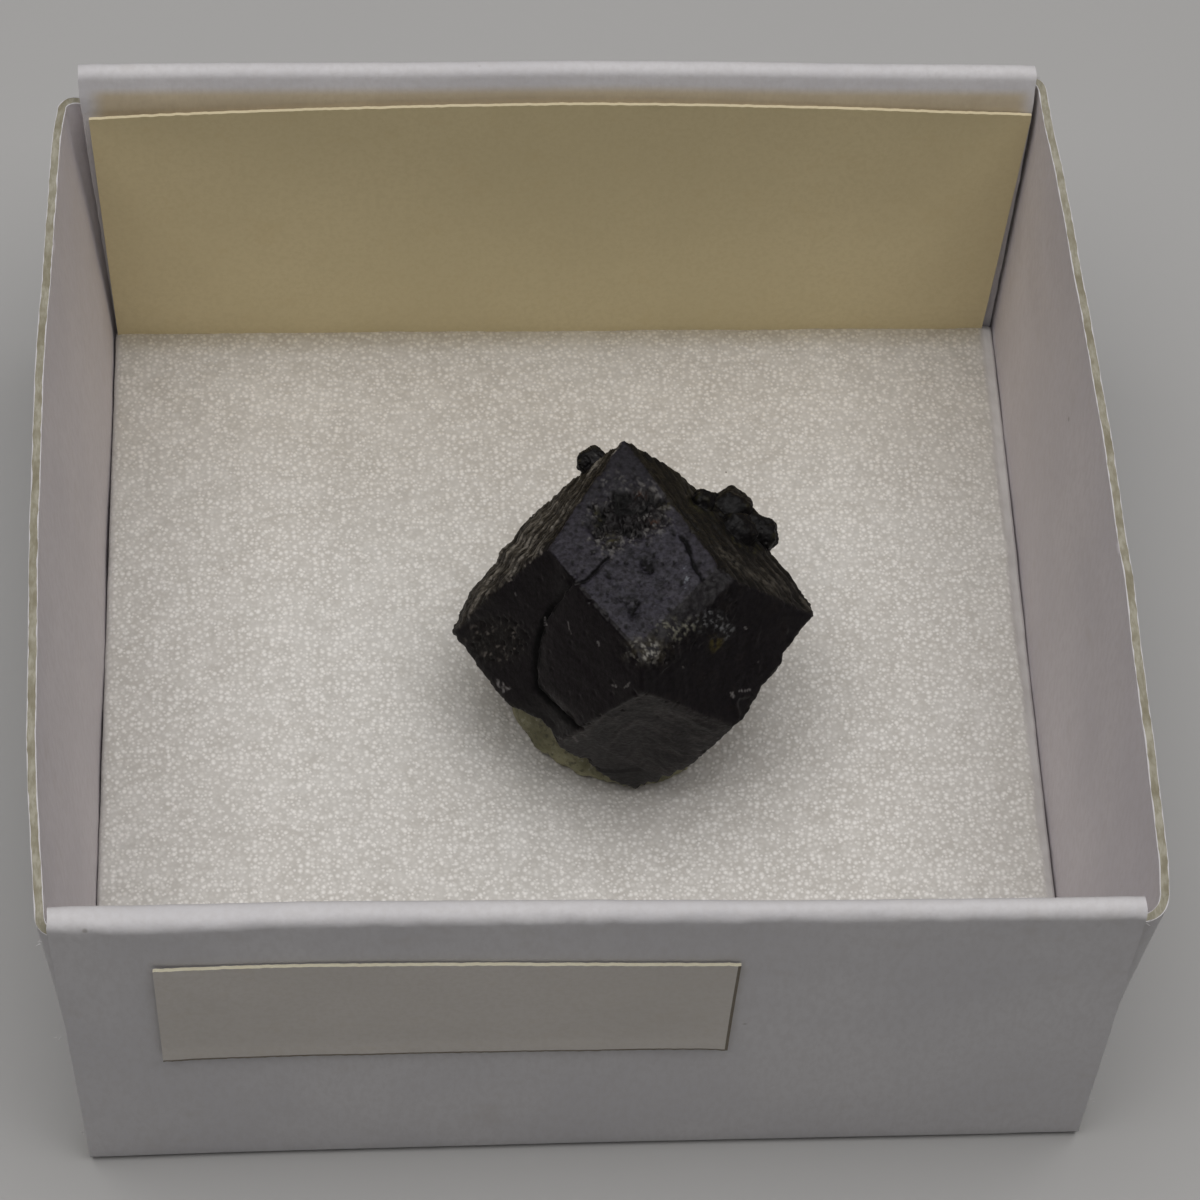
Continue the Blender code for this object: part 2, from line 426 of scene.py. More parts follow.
def closeup(p):
    """Places on the crystal as seen in the enlarged view that its markings were measured in:
    3.92 steps to a pixel, so about 98 steps to a millimetre."""
    x, y = project(p)
    return (x - 430) * 3.92, (y - 420) * 3.92


PLATE_MID = [(548, 652), (620, 630), (655, 590), (692, 545), (735, 512), (775, 482), (850, 470), (905, 430), (945, 395),
             (985, 455), (1012, 500), (1030, 560), (1060, 610), (1090, 648), (1062, 692), (1010, 742), (960, 790),
             (915, 845), (880, 880), (850, 905), (790, 935), (700, 905), (640, 850), (545, 715)]
CRATER = [(640, 335), (692, 318), (720, 285), (775, 272), (830, 262), (880, 270), (905, 305), (940, 345), (940, 392),
          (900, 425), (850, 462), (775, 475), (735, 500), (700, 525), (668, 480), (640, 450), (612, 408)]
GROOVE_A = [(548, 676), (575, 647), (602, 634), (626, 616), (650, 590), (672, 562), (696, 540)]
GROOVE_B = [(985, 455), (1003, 480), (1018, 520), (1030, 560), (1052, 600), (1075, 630), (1094, 655)]
STEP_LEFT = [(560, 655), (528, 690), (490, 738), (462, 785), (444, 840), (430, 900), (425, 970), (432, 1040),
             (468, 1090), (512, 1132), (560, 1172), (612, 1218)]
SLAB_LEFT = STEP_LEFT + [(845, 1072), (900, 980), (1000, 1000), (1000, 700), (700, 500), (600, 560)]
LOW_DARK = [(590, 1235), (650, 1275), (760, 1325), (880, 1385), (900, 1420), (800, 1500), (540, 1400), (500, 1280)]
EDGE_TL = [(456, 502), (560, 664), (628, 762), (717, 843), (796, 894), (843, 921)]
CORNER = (835, 925)
LOW_RIM = [(560, 1262), (622, 1205), (700, 1130), (780, 1085), (840, 1068), (900, 1080), (1000, 1118), (1090, 1150), (1180, 1172)]
CHIPPED = [(1175, 660), (1130, 760), (1060, 830), (960, 880), (900, 940)]


PITS = [(850, 575, 18, 0.10), (866, 594, 10, 0.09), (836, 560, 10, 0.09), (800, 740, 15, 0.10), (790, 762, 10, 0.09), (814, 716, 10, 0.09),
        (742, 700, 10, 0.05), (768, 716, 9, 0.05), (702, 615, 10, 0.05), (690, 596, 9, 0.04), (770, 560, 10, 0.05), (735, 556, 9, 0.04),
        (900, 700, 10, 0.04), (880, 530, 10, 0.05), (820, 640, 9, 0.04), (690, 760, 10, 0.05), (655, 745, 9, 0.04), (870, 800, 10, 0.05),
        (845, 830, 9, 0.04), (930, 640, 9, 0.04), (740, 650, 9, 0.04), (700, 680, 9, 0.04), (770, 810, 9, 0.04), (910, 560, 9, 0.04),
        (850, 490, 9, 0.04), (960, 560, 9, 0.04), (985, 640, 9, 0.04), (940, 745, 9, 0.04), (640, 520, 10, 0.05), (580, 500, 9, 0.04),
        (560, 560, 9, 0.04), (600, 590, 9, 0.04), (600, 410, 9, 0.04), (625, 345, 9, 0.04), (665, 265, 9, 0.04), (740, 180, 9, 0.04),
        (800, 225, 9, 0.04), (960, 450, 9, 0.04), (1060, 560, 9, 0.04), (1100, 600, 9, 0.04)]


def hollows(p):
    """The ragged hollows of the rough patch on the top face, 0 to 1."""
    return smooth(-0.02, 0.36, fbm(p / 0.74, 4, 31, 0.66))


def streaks(p, face, a, b, long, wide, seed):
    """Ridges that run along a face, in the direction from a to b."""
    u = NORMALS[face]
    along = np.array(b) - np.array(a)
    along /= np.linalg.norm(along)
    side = np.cross(u, along)
    s = np.stack([(p @ along) / long, (p @ side) / wide, (p @ u) / 0.9], 1)
    return fbm(s, 3, seed, 0.55)


EDGE_L = ((-1.34, -1.58, 15.76), (1.90, 3.28, 16.07))
EDGE_R = ((5.67, -3.14, 15.99), (1.90, 3.28, 16.07))


def garnet_heights(p, d_face):
    """How far each face stands out (+) or in (-) of its flat plane, in mm, at these places."""
    X, Y = closeup(p)
    n = len(p)
    h = np.zeros((n, len(DISTS)))
    seen = (p - CENTRE) @ (-VIEW[2]) > -1.0        # the side towards the viewer of the close-up
    wob = np.stack([X, Y], 1)
    wx = X + 7 * noise(np.stack([X / 40, Y / 40, X * 0], 1), 5) + 3 * noise(np.stack([X / 14, Y / 14, X * 0], 1), 6)
    wy = Y + 7 * noise(np.stack([X / 40, Y / 40, X * 0 + 9], 1), 7) + 3 * noise(np.stack([X / 14, Y / 14, X * 0 + 9], 1), 8)
    q = p * 1.0
    fine = fbm(q / 0.35, 3, 21)
    coarse = fbm(q / 1.4, 3, 22)

    # every face: a little uneven
    h += (0.018 * coarse + 0.006 * fine)[:, None]

    # top face: plates with grooves between, and a rough hollow near the far end
    mid = signed(wx, wy, PLATE_MID)
    cr = signed(wx, wy, CRATER)
    t = np.zeros(n)
    t += 0.045 * smooth(6, -4, mid)
    rag = ridged(q / 0.5, 3, 32)
    rough = smooth(16, -22, cr + 26 * fbm(q / 0.5, 2, 34))
    t += rough * (-0.01 - 0.23 * hollows(q) + 0.015 * rag + 0.07 * fbm(q / 0.24, 2, 35))
    t += -0.14 * np.exp(-(line_dist(wx, wy, GROOVE_A) / 7.5) ** 2)
    t += -0.12 * np.exp(-(line_dist(wx, wy, GROOVE_B) / 7.0) ** 2)
    t += -0.02 * smooth(0.30, 0.12, worley(q / 0.34, 33)[0]) * smooth(0.35, 0.75, worley(q / 0.34, 33)[2])
    # small round dimples in the middle plate
    for cx, cy, r, dep in PITS:
        rr = np.hypot((wx - cx), (wy - cy) * 0.8)
        t += -dep * np.exp(-(rr / r) ** 2)
    # chipped, crusty edge by the near corner
    crust = smooth(130, 20, np.hypot((wx - CORNER[0]) * 0.85, (wy - CORNER[1] + 10) * 1.2))
    t += crust * (-0.07 + 0.06 * rag)
    h[:, TOP] += t * seen

    # left face: a raised slab on its right, with a stepped edge, and etched pits on the far left
    slab = signed(wx, wy, SLAB_LEFT)
    L = -0.07 + 0.20 * smooth(8, -6, slab)
    toe = smooth(470, 560, X) * smooth(760, 640, Y)
    L += 0.13 * toe * smooth(-8, 8, slab) + 0.06 * smooth(0, -60, slab)
    L += -0.12 * np.exp(-((slab - 12) / 12.0) ** 2)
    etch = smooth(130, 70, np.hypot((wx - 258) * 0.85, (wy - 862)))
    L += etch * (-0.03 - 0.13 * smooth(0.42, 0.12, worley(q / 0.27, 41)[0]) + 0.02 * rag)
    L += -0.03 * smooth(0.22, 0.08, worley(q / 0.6, 42)[0])
    L += crust * (-0.07 + 0.06 * rag)
    L += 0.012 * fbm(np.stack([(X + Y) / 260, (X - Y) / 60, X * 0], 1), 3, 43)
    h[:, LEFT] += L * seen

    # right face: dark, a chipped upper edge and a round pitted patch near the far edge
    ring = np.hypot(wx - 1232, wy - 1112)
    r = 0.05 * np.exp(-((ring - 48) / 10.0) ** 2) - 0.07 * smooth(44, 20, ring)
    chips = smooth(105, 10, line_dist(wx, wy, CHIPPED))
    r += chips * (-0.03 + 0.06 * rag - 0.06 * smooth(0.4, 0.1, worley(q / 0.3, 51)[0]))
    r += crust * (-0.07 + 0.06 * rag)
    r += 0.02 * fbm(np.stack([X / 45, Y / 160, X * 0], 1), 3, 52)
    r += 0.05 * smooth(0.3, 0.75, fbm(q / 0.8, 3, 53)) * smooth(1180, 1330, X + 0.3 * (Y - 900))
    h[:, RIGHT] += r * seen

    # bevel between top and right: broken into scallops
    b = 0.07 * fbm(q / 0.55, 3, 61) + 0.09 * smooth(1010, 900, X) + 0.02 * smooth(1080, 1160, X)
    h[:, BEVEL] += b

    # low face: wavy lines across, with one dark pore, and a smoother darker area at its left
    dark = signed(wx, wy, LOW_DARK)
    rim = line_dist(X, Y, LOW_RIM)
    wave = fbm(np.stack([X / 150 + 0.6 * noise(np.stack([X / 90, Y / 90, X * 0], 1), 63), rim / 26.0, X * 0], 1), 3, 62)
    o = 0.035 * wave * smooth(-20, 30, dark) - 0.045 * smooth(10, -10, dark)
    o += -0.09 * np.exp(-(np.hypot(wx - 890, wy - 1160) / 12.0) ** 2)
    o += -0.06 * np.exp(-(np.hypot((wx - 950) * 0.5, wy - 1275) / 14.0) ** 2)
    h[:, LOW] += o * seen

    # upper left face, seen along its length: rough with low ridges that run up it
    h[:, UPL] += 0.13 * streaks(q, UPL, *EDGE_L, 2.6, 0.33, 71) + 0.03 * fine - 0.02 - 0.05 * smooth(0.35, 0.1, worley(q / 0.4, 72)[0])
    # upper right face: the same, a little smoother, with light steps
    h[:, UPR] += 0.11 * streaks(q, UPR, *EDGE_R, 2.4, 0.36, 73) + 0.025 * fine - 0.02 - 0.06 * smooth(0.35, 0.1, worley(q / 0.45, 74)[0])
    # the sides and back that face away: rough, with growth steps and hollows
    for k in (LOWL, LOWR, BACK, BACKL, BACKR):
        u = NORMALS[k]
        a = np.cross(u, [0.3, 0.2, 0.93])
        a /= np.linalg.norm(a)
        s = np.stack([(q @ a) / 2.2, (q @ np.cross(u, a)) / 0.7, (q @ u) / 1.5], 1)
        st = fbm(s, 3, 80 + k) * 4
        step = (np.floor(st) + smooth(0.35, 0.65, st - np.floor(st))) / 4
        h[:, k] += 0.16 * step + 0.03 * rag - 0.07 * smooth(0.4, 0.1, worley(q / 0.55, 90 + k)[0]) * smooth(0.5, 0.8, worley(q / 0.55, 90 + k)[2])
    h[:, CONTACT] += 0.12 * fbm(q / 0.9, 3, 95)
    return h


def garnet_radius(d):
    """How far the surface lies from the centre in each direction."""
    nd = d @ NORMALS.T
    with np.errstate(divide="ignore"):
        flat = np.where(nd > 0.04, DISTS / np.maximum(nd, 0.04), 99.0)
    r0 = flat.min(1)
    p = CENTRE + d * r0[:, None]
    h = garnet_heights(p, None)
    r = np.where(nd > 0.04, (DISTS + h) / np.maximum(nd, 0.04), 99.0)
    # edges are worn round, more in some places than in others, and chipped here and there
    wear = 0.022 + 0.03 * smooth(-0.2, 0.6, fbm(p / 1.1, 3, 101))
    low = r.min(1)
    rs = -wear * np.log(np.exp(-np.clip((r - low[:, None]) / wear[:, None], 0, 40)).sum(1)) + low
    two = np.sort(r, 1)[:, :2]
    near = smooth(0.28, 0.0, two[:, 1] - two[:, 0])
    chip = smooth(0.38, 0.75, fbm(p / 0.42, 3, 102))
    return rs - 0.13 * near * chip


# outline of the crystal without the small ones on it, as (angle from its middle, reach in pixels)
MIDDLE = (640.0, 615.0)
OUTLINE = [(0, 174.0), (5, 168.5), (10, 161.5), (15, 156.5), (20, 150.0), (25, 146.0), (65, 137.0), (70, 142.0), (75, 148.0),
           (80, 153.5), (85, 158.5), (90, 168.0), (95, 175.5), (100, 169.0), (106, 160.5), (115, 152.5), (120, 150.0), (125, 147.5),
           (130, 146.0), (135, 147.0), (140, 147.5), (145, 148.5), (150, 148.0), (155, 154.5), (160, 154.5), (165, 160.0),
           (170, 169.5), (175, 176.5), (180, 182.5), (185, 189.0), (190, 180.5), (195, 174.0), (200, 168.5), (205, 164.5),
           (210, 161.5), (214.4, 159.2), (220, 151.0), (226.5, 144.2), (232.5, 146.0), (239.6, 155.5), (250, 155.0),
           (256, 163.0), (262, 170.0), (268, 173.8), (275, 169.5), (281, 163.5), (288, 159.0), (296.6, 151.5), (305, 147.5),
           (310, 145.5), (315, 146.5), (320, 144.0), (325, 142.5), (330, 141.0), (335, 145.0), (340, 150.0), (345, 149.5),
           (350, 156.0), (355, 163.0)]


def fit_outline(v):
    """Moves what shows at the crystal's rim sideways, so that its outline has the real one's dents and bulges."""
    x, y = project(v)
    ang = np.degrees(np.arctan2(-(y - MIDDLE[1]), x - MIDDLE[0])) % 360
    rad = np.hypot(x - MIDDLE[0], y - MIDDLE[1])
    step = 2.5
    bins = (np.round(ang / step).astype(int)) % int(360 / step)
    reach = np.zeros(int(360 / step))
    np.maximum.at(reach, bins, rad)
    own = np.interp(ang, np.arange(-1, len(reach) + 1) * step, np.concatenate([reach[-1:], reach, reach[:1]]))
    a = np.array([o[0] for o in OUTLINE], float)
    w = np.array([o[1] for o in OUTLINE], float)
    a = np.concatenate([a - 360, a, a + 360])
    w = np.concatenate([w, w, w])
    want = np.interp(ang, a, w)
    hidden = smooth(25, 30, ang) * smooth(65, 60, ang)      # under the small crystals the rim isn't seen
    want = own * hidden + want * (1 - hidden)
    ratio = np.clip(want / np.maximum(own, 1), 0.88, 1.10)
    share = smooth(0.70, 0.97, rad / np.maximum(own, 1))
    shift = rad * (ratio - 1) * share
    depth = ((v - EYE) @ VIEW.T)[:, 2]
    dx = shift * np.cos(np.radians(ang)) * depth / FOCAL
    dy = -shift * np.sin(np.radians(ang)) * depth / FOCAL
    return v + dx[:, None] * VIEW[0] + dy[:, None] * VIEW[1]


def cube_sphere(n, pole, pull=0.30):
    """Directions over the whole sphere, closer together round one pole."""
    t = np.tan(np.linspace(-1, 1, n + 1) * math.pi / 4)
    verts, faces, base = [], [], 0
    basis = [((0, 0, 1), (1, 0, 0), (0, 1, 0)), ((0, 0, -1), (0, 1, 0), (1, 0, 0)), ((1, 0, 0), (0, 1, 0), (0, 0, 1)),
             ((-1, 0, 0), (0, 0, 1), (0, 1, 0)), ((0, 1, 0), (0, 0, 1), (1, 0, 0)), ((0, -1, 0), (1, 0, 0), (0, 0, 1))]
    for w, u, v in basis:
        a, b = np.meshgrid(t, t, indexing="ij")
        verts.append(np.array(w, float) + a.ravel()[:, None] * np.array(u, float) + b.ravel()[:, None] * np.array(v, float))
        faces.append(grid_faces(n + 1, n + 1) + base)
        base += (n + 1) ** 2
    v = np.vstack(verts)
    f = np.vstack(faces)
    v /= np.linalg.norm(v, axis=1)[:, None]
    key = np.round(v * 1e5).astype(np.int64)
    _, first, same = np.unique(key, axis=0, return_index=True, return_inverse=True)
    v, f = v[first], same.ravel()[f]
    pole = np.asarray(pole, float) / np.linalg.norm(pole)
    z = pole
    x = np.cross([0.0, 1.0, 0.0], z)
    x /= np.linalg.norm(x)
    y = np.cross(z, x)
    th = np.arccos(np.clip(v[:, 2], -1, 1))
    th2 = th - pull * np.sin(th)
    s = np.where(th > 1e-6, np.sin(th2) / np.maximum(np.sin(th), 1e-6), 1.0)
    v = np.stack([v[:, 0] * s, v[:, 1] * s, np.cos(th2)], 1)
    v = v[:, :1] * x + v[:, 1:2] * y + v[:, 2:3] * z
    return v / np.linalg.norm(v, axis=1)[:, None], f


HKL = [(a, b, 0) for a in (1, -1) for b in (1, -1)] + [(a, 0, b) for a in (1, -1) for b in (1, -1)] + \
      [(0, a, b) for a in (1, -1) for b in (1, -1)]


def small_crystal(centre, size, turn, level, seed, rough=0.02, stretch=(1, 1, 1)):
    bm = bmesh.new()
    bmesh.ops.create_icosphere(bm, subdivisions=level, radius=1.0)
    d = np.array([v.co for v in bm.verts], float)
    d /= np.linalg.norm(d, axis=1)[:, None]
    f = np.array([[v.index for v in fa.verts] for fa in bm.faces])
    bm.free()
    rot = euler(turn)
    n = np.array(HKL, float) / math.sqrt(2) @ rot.T
    rng = np.random.default_rng(seed)
    dist = size * (1 + 0.10 * rng.uniform(-1, 1, len(n)))
    nd = d @ n.T
    r = np.where(nd > 0.05, dist / np.maximum(nd, 0.05), 99.0)
    low = r.min(1)
    k = 0.085 * size
    rs = low - k * np.log(np.exp(-np.clip((r - low[:, None]) / k, 0, 40)).sum(1))
    p = d * rs[:, None]
    w = np.asarray(centre) + p
    rs = rs + 1.6 * rough * fbm(w / (0.45 * size + 0.08), 3, seed) + 0.8 * rough * ridged(w / 0.2, 2, seed + 9)
    v = np.asarray(centre) + d * rs[:, None] * np.asarray(stretch)
    return v, f


SMALL = [  # centre, face distance, turn, mesh level
    ((6.36, 2.28, 12.50), 0.85, (20, 35, 10), 5), ((7.52, 1.40, 11.92), 0.69, (55, 10, 40), 5),
    ((5.18, 1.80, 13.90), 0.42, (5, 60, 25), 4), ((6.52, 0.84, 12.98), 0.72, (70, 15, 65), 5),
    ((0.74, 4.08, 13.34), 0.55, (30, 30, 0), 5), ((6.98, 1.80, 12.20), 0.62, (33, 20, 50), 4)]


def by_sight(x, y, depth_from, lift=0.0):
    """A point on the line of sight at the depth of another point, for a small crystal that sits where it is seen."""
    d = VIEW.T @ np.array([(x - 600) / FOCAL, (y - 600) / FOCAL, 1.0])
    t = ((np.asarray(depth_from, float) - EYE) @ VIEW.T)[2] - lift
    return EYE + d * t


S0 = SMALL[0][0]
EXTRA = [  # place in the frame, a point at the same depth, size, turn
    ((713.0, 500.5), (5.6, 2.6, 12.6), 0.30, (10, 20, 60)), ((700.5, 503.0), (5.1, 2.3, 13.3), 0.24, (60, 40, 30)),
    ((729.0, 524.0), (6.2, 1.3, 12.9), 0.36, (5, 50, 20)), ((742.0, 528.0), (6.7, 1.3, 12.4), 0.34, (80, 25, 10)),
    ((752.5, 546.5), (7.2, 0.7, 12.2), 0.24, (15, 65, 35)), ((772.5, 534.0), (7.8, 1.4, 11.9), 0.20, (50, 50, 10)),
    ((717.0, 516.5), (5.8, 1.6, 13.2), 0.26, (22, 70, 12)), ((694.0, 497.5), (4.9, 2.7, 13.4), 0.20, (70, 20, 40)),
    ((586.0, 461.5), (0.7, 4.0, 13.6), 0.27, (40, 22, 18)), ((598.5, 458.0), (1.0, 4.1, 13.6), 0.28, (18, 48, 5))]


def make_garnet(mat):
    n = 114
    d, f = cube_sphere(n, -VIEW[2] + np.array([0.0, -0.05, 0.1]))
    v = CENTRE + d * garnet_radius(d)[:, None]
    v = fit_outline(v)
    main = Shape()
    main.add(v, f)
    ob = main.make("garnet", [mat])
    parts = []
    for i, (c, s, t, lv) in enumerate(SMALL):
        parts.append(small_crystal(c, s, t, lv, 200 + i, 0.036, (1.0, 1.0, 1.0)))
    for i, (px, near, s, t) in enumerate(EXTRA):
        parts.append(small_crystal(by_sight(px[0], px[1], near), s, t, 4, 300 + i, 0.02))
    col = bpy.data.collections.new("small_crystals")
    for i, (pv, pf) in enumerate(parts):
        sh = Shape()
        sh.add(pv, pf)
        o = sh.make(f"small_{i}", [mat])
        bpy.context.scene.collection.objects.unlink(o)
        col.objects.link(o)
    bpy.context.scene.collection.children.link(col)
    mod = ob.modifiers.new("grown_together", "BOOLEAN")
    mod.operation = "UNION"
    mod.operand_type = "COLLECTION"
    mod.collection = col
    mod.solver = "EXACT"
    bpy.context.view_layer.update()
    dep = bpy.context.evaluated_depsgraph_get()
    me = bpy.data.meshes.new_from_object(ob.evaluated_get(dep))
    ob.modifiers.clear()
    old = ob.data
    ob.data = me
    bpy.data.meshes.remove(old)
    me.name = "garnet"
    for o in list(col.objects):
        data = o.data
        bpy.data.objects.remove(o)
        bpy.data.meshes.remove(data)
    bpy.data.collections.remove(col)
    bm = bmesh.new()
    bm.from_mesh(me)
    bmesh.ops.triangulate(bm, faces=[fa for fa in bm.faces if len(fa.verts) > 3])
    loose = [vv for vv in bm.verts if not vv.link_faces]
    if loose:
        bmesh.ops.delete(bm, geom=loose, context="VERTS")
    bm.to_mesh(me)
    bm.free()
    me.materials.clear()
    me.materials.append(mat)
    me.shade_smooth()
    colour_garnet(ob, [p[0].mean(0) for p in parts], [s[1] for s in SMALL] + [e[2] for e in EXTRA])
    return ob


def colour_garnet(ob, centres, sizes):
    p = points(ob)
    X, Y = closeup(p)
    slack = DISTS[None, :] - (p - CENTRE) @ NORMALS.T
    face = slack.argmin(1)
    n = len(p)
    seen = (p - CENTRE) @ (-VIEW[2]) > -0.8
    away = np.full(n, 9.0)
    for c, s in zip(centres, sizes):
        away = np.minimum(away, np.linalg.norm(p - c, axis=1) / s)
    sat = smooth(1.55, 1.25, away)
    wob = 12 * fbm(p / 0.5, 3, 110)
    x, y = X + wob, Y + 12 * fbm(p / 0.5, 3, 111)
    grain = fbm(p / 0.16, 3, 112)
    speck = smooth(0.25, 0.6, fbm(p / 0.22, 2, 113))
    cells = worley(p / 0.24, 114)
    chalk = smooth(0.14, 0.42, fbm(p / 0.19, 3, 113, 0.6))
    pit = worley(p / 0.30, 134)
    pits = smooth(0.36, 0.20, pit[0]) * smooth(0.45, 0.70, pit[2])

    tone = np.tile(np.array([0.0064, 0.0052, 0.0060]), (n, 1))
    rough = np.full(n, 0.43)
    lump = np.full(n, 0.35)

    def lay_on(mask, colour, r=None, b=None):
        mask = np.clip(mask, 0, 1)
        tone[:] = tone * (1 - mask[:, None]) + np.asarray(colour) * mask[:, None]
        if r is not None:
            rough[:] = rough * (1 - mask) + r * mask
        if b is not None:
            lump[:] = lump * (1 - mask) + b * mask

    def spot(cx, cy, rx, ry):
        return np.exp(-((x - cx) / rx) ** 2 - ((y - cy) / ry) ** 2)

    wx = X + 7 * noise(np.stack([X / 40, Y / 40, X * 0], 1), 5) + 3 * noise(np.stack([X / 14, Y / 14, X * 0], 1), 6)
    wy = Y + 7 * noise(np.stack([X / 40, Y / 40, X * 0 + 9], 1), 7) + 3 * noise(np.stack([X / 14, Y / 14, X * 0 + 9], 1), 8)
    pepper = smooth(0.10, 0.55, fbm(p / 0.17, 3, 115))
    mottle = smooth(0.05, 0.50, fbm(p / 0.34, 3, 128))
    top = (face == TOP) & seen
    # top face: painted lighter and bluer than the other faces, a painted reflection of the light above it
    lay_on(top * 1.0, (0.0318, 0.0290, 0.0372), 0.46, 0.30)
    lay_on(top * smooth(420, 250, y) * 0.8, (0.0150, 0.0135, 0.0172), 0.46)
    mid = signed(x, y, PLATE_MID)
    lay_on(top * smooth(4, -6, mid) * 0.95, (0.0358, 0.0334, 0.0430), 0.42, 0.30)
    lay_on(top * smooth(4, -6, mid) * smooth(0.0, 0.5, fbm(p / 0.8, 2, 129)) * 0.5, (0.0430, 0.0395, 0.0485), 0.45)
    lay_on(top * pepper * 0.70, (0.0085, 0.0078, 0.0095), 0.5)
    lay_on(top * pits * 0.75, (0.0055, 0.0050, 0.0060), 0.55, 0.5)
    lay_on(top * mottle * 0.42, (0.0105, 0.0096, 0.0116), 0.5)
    # painted shade: dark spots in and round the small dimples of the top face
    dark = np.maximum(np.maximum(spot(852, 575, 34, 34), spot(800, 738, 26, 42)), np.maximum(0.7 * spot(745, 700, 30, 14), 0.6 * spot(700, 610, 22, 18)))
    dark = np.maximum(dark, np.maximum(0.6 * spot(790, 520, 40, 16), 0.5 * spot(905, 640, 22, 22)))
    lay_on(top * np.clip(dark * 1.35, 0, 1) * smooth(-0.60, 0.05, grain), (0.0036, 0.0033, 0.0038), 0.55, 0.6)
    holes = np.zeros(n)
    for cx, cy, r, dep in PITS:
        holes = np.maximum(holes, (1.0 if dep > 0.06 else 0.80) * np.exp(-(np.hypot(x * 0.5 + X * 0.5 - cx, (y * 0.5 + Y * 0.5 - cy) * 0.8) / (1.15 * r)) ** 2))
    lay_on(top * smooth(0.25, 0.75, holes * (1 + 0.9 * grain) + 0.10 * grain) * 0.92, (0.0035, 0.0031, 0.0036), 0.6, 0.4)
    cr = signed(x, y, CRATER)
    ragged = smooth(16, -22, cr + 26 * fbm(p / 0.5, 2, 34))
    hol = hollows(p)
    lay_on(top * ragged, (0.0112, 0.0098, 0.0104), 0.52, 0.9)
    # painted shade in the hollows of the rough patch
    lay_on(top * ragged * smooth(0.15, 0.55, hol), (0.0028, 0.0025, 0.0026), 0.65, 0.5)
    ash = np.maximum(np.maximum(spot(648, 440, 40, 75), spot(838, 375, 30, 40)), np.maximum(spot(800, 462, 70, 26), 0.8 * spot(720, 240, 60, 40)))
    ash = np.maximum(ash, np.maximum(spot(690, 515, 26, 24), 0.7 * spot(845, 250, 40, 30)))
    rimmed = smooth(46, 6, np.abs(cr + 10))
    lay_on(top * np.clip(np.maximum(ash, rimmed * 0.75), 0, 1) * chalk * (1 - 0.8 * hol) * 0.85, (0.132, 0.126, 0.121), 0.6, 1.0)
    lay_on(top * (spot(705, 470, 30, 22) + spot(930, 330, 26, 22) + spot(655, 380, 18, 26)) * smooth(-0.1, 0.4, grain) * 0.8, (0.048, 0.044, 0.020), 0.6)
    lay_on(top * (spot(880, 405, 22, 16) + spot(825, 292, 24, 14)) * smooth(-0.1, 0.4, grain) * 0.8, (0.052, 0.024, 0.014), 0.6)
    # painted shade in the two grooves between the plates
    for ln in (GROOVE_A, GROOVE_B):
        lay_on(top * smooth(11, 4, line_dist(wx, wy, ln)), (0.0020, 0.0018, 0.0020), 0.75, 0.2)
    lay_on(top * smooth(9, 4, line_dist(x, y, [(1000, 575), (1006, 610), (1004, 655)])) * smooth(0.0, 0.4, grain), (0.14, 0.15, 0.17), 0.4)
    bev = (face == BEVEL) & seen
    lay_on(bev * 1.0, (0.0165, 0.0150, 0.0165), 0.48, 0.5)
    lay_on(bev * mottle * 0.7, (0.0070, 0.0062, 0.0068), 0.5, 0.7)

    # left face
    left = (face == LEFT) & seen
    slab = signed(x, y, SLAB_LEFT)
    lay_on(left * smooth(2, -6, slab) * 0.9, (0.0080, 0.0064, 0.0074), 0.42)
    lay_on(left * np.exp(-((slab + 9) / 8.0) ** 2) * smooth(1000, 1080, y) * 0.8, (0.0150, 0.0125, 0.0145), 0.45)
    # painted shade: a dark band beside the raised slab's stepped edge, where the step is in shadow
    band = smooth(32, 16, slab) * smooth(-5, 2, slab) * smooth(690, 760, y)
    lay_on(left * band * 0.95, (0.0012, 0.0011, 0.0012), 0.75, 0.2)
    etch = smooth(125, 60, np.hypot((x - 255) * 0.85, y - 862)) * left
    lay_on(etch * 0.7, (0.0090, 0.0080, 0.0070), 0.5, 1.0)
    lay_on(etch * smooth(0.09, 0.03, np.abs(cells[1] - cells[0])) * smooth(0.0, 0.4, fbm(p / 0.3, 2, 130)), (0.105, 0.094, 0.084), 0.5)
    # right face
    right = (face == RIGHT) & seen
    lay_on(right * 0.9, (0.0070, 0.0060, 0.0068), 0.43)
    lay_on(right * smooth(0.25, 0.6, fbm(p / 0.7, 3, 121)) * 0.5, (0.0120, 0.0095, 0.0090), 0.5)
    # low face
    low = (face == LOW) & seen
    rim = line_dist(x * 0.5 + X * 0.5, y * 0.5 + Y * 0.5, LOW_RIM)
    lay_on(low * 1.0, (0.0145, 0.0124, 0.0134), 0.52, 0.7)
    lay_on(low * smooth(-0.05, 0.36, fbm(np.stack([X / 170, rim / 24.0, X * 0], 1), 3, 122)) * 0.85, (0.0335, 0.0290, 0.0295), 0.5)
    lay_on(low * smooth(26, 4, rim) * 0.5, (0.0400, 0.0355, 0.0350), 0.5)
    lay_on(low * smooth(0.1, 0.5, fbm(p / 0.7, 3, 131)) * 0.5, (0.0100, 0.0086, 0.0090), 0.5)
    lay_on(low * smooth(14, -14, signed(x, y, LOW_DARK)) * 0.9, (0.0115, 0.0095, 0.0105), 0.46, 0.3)

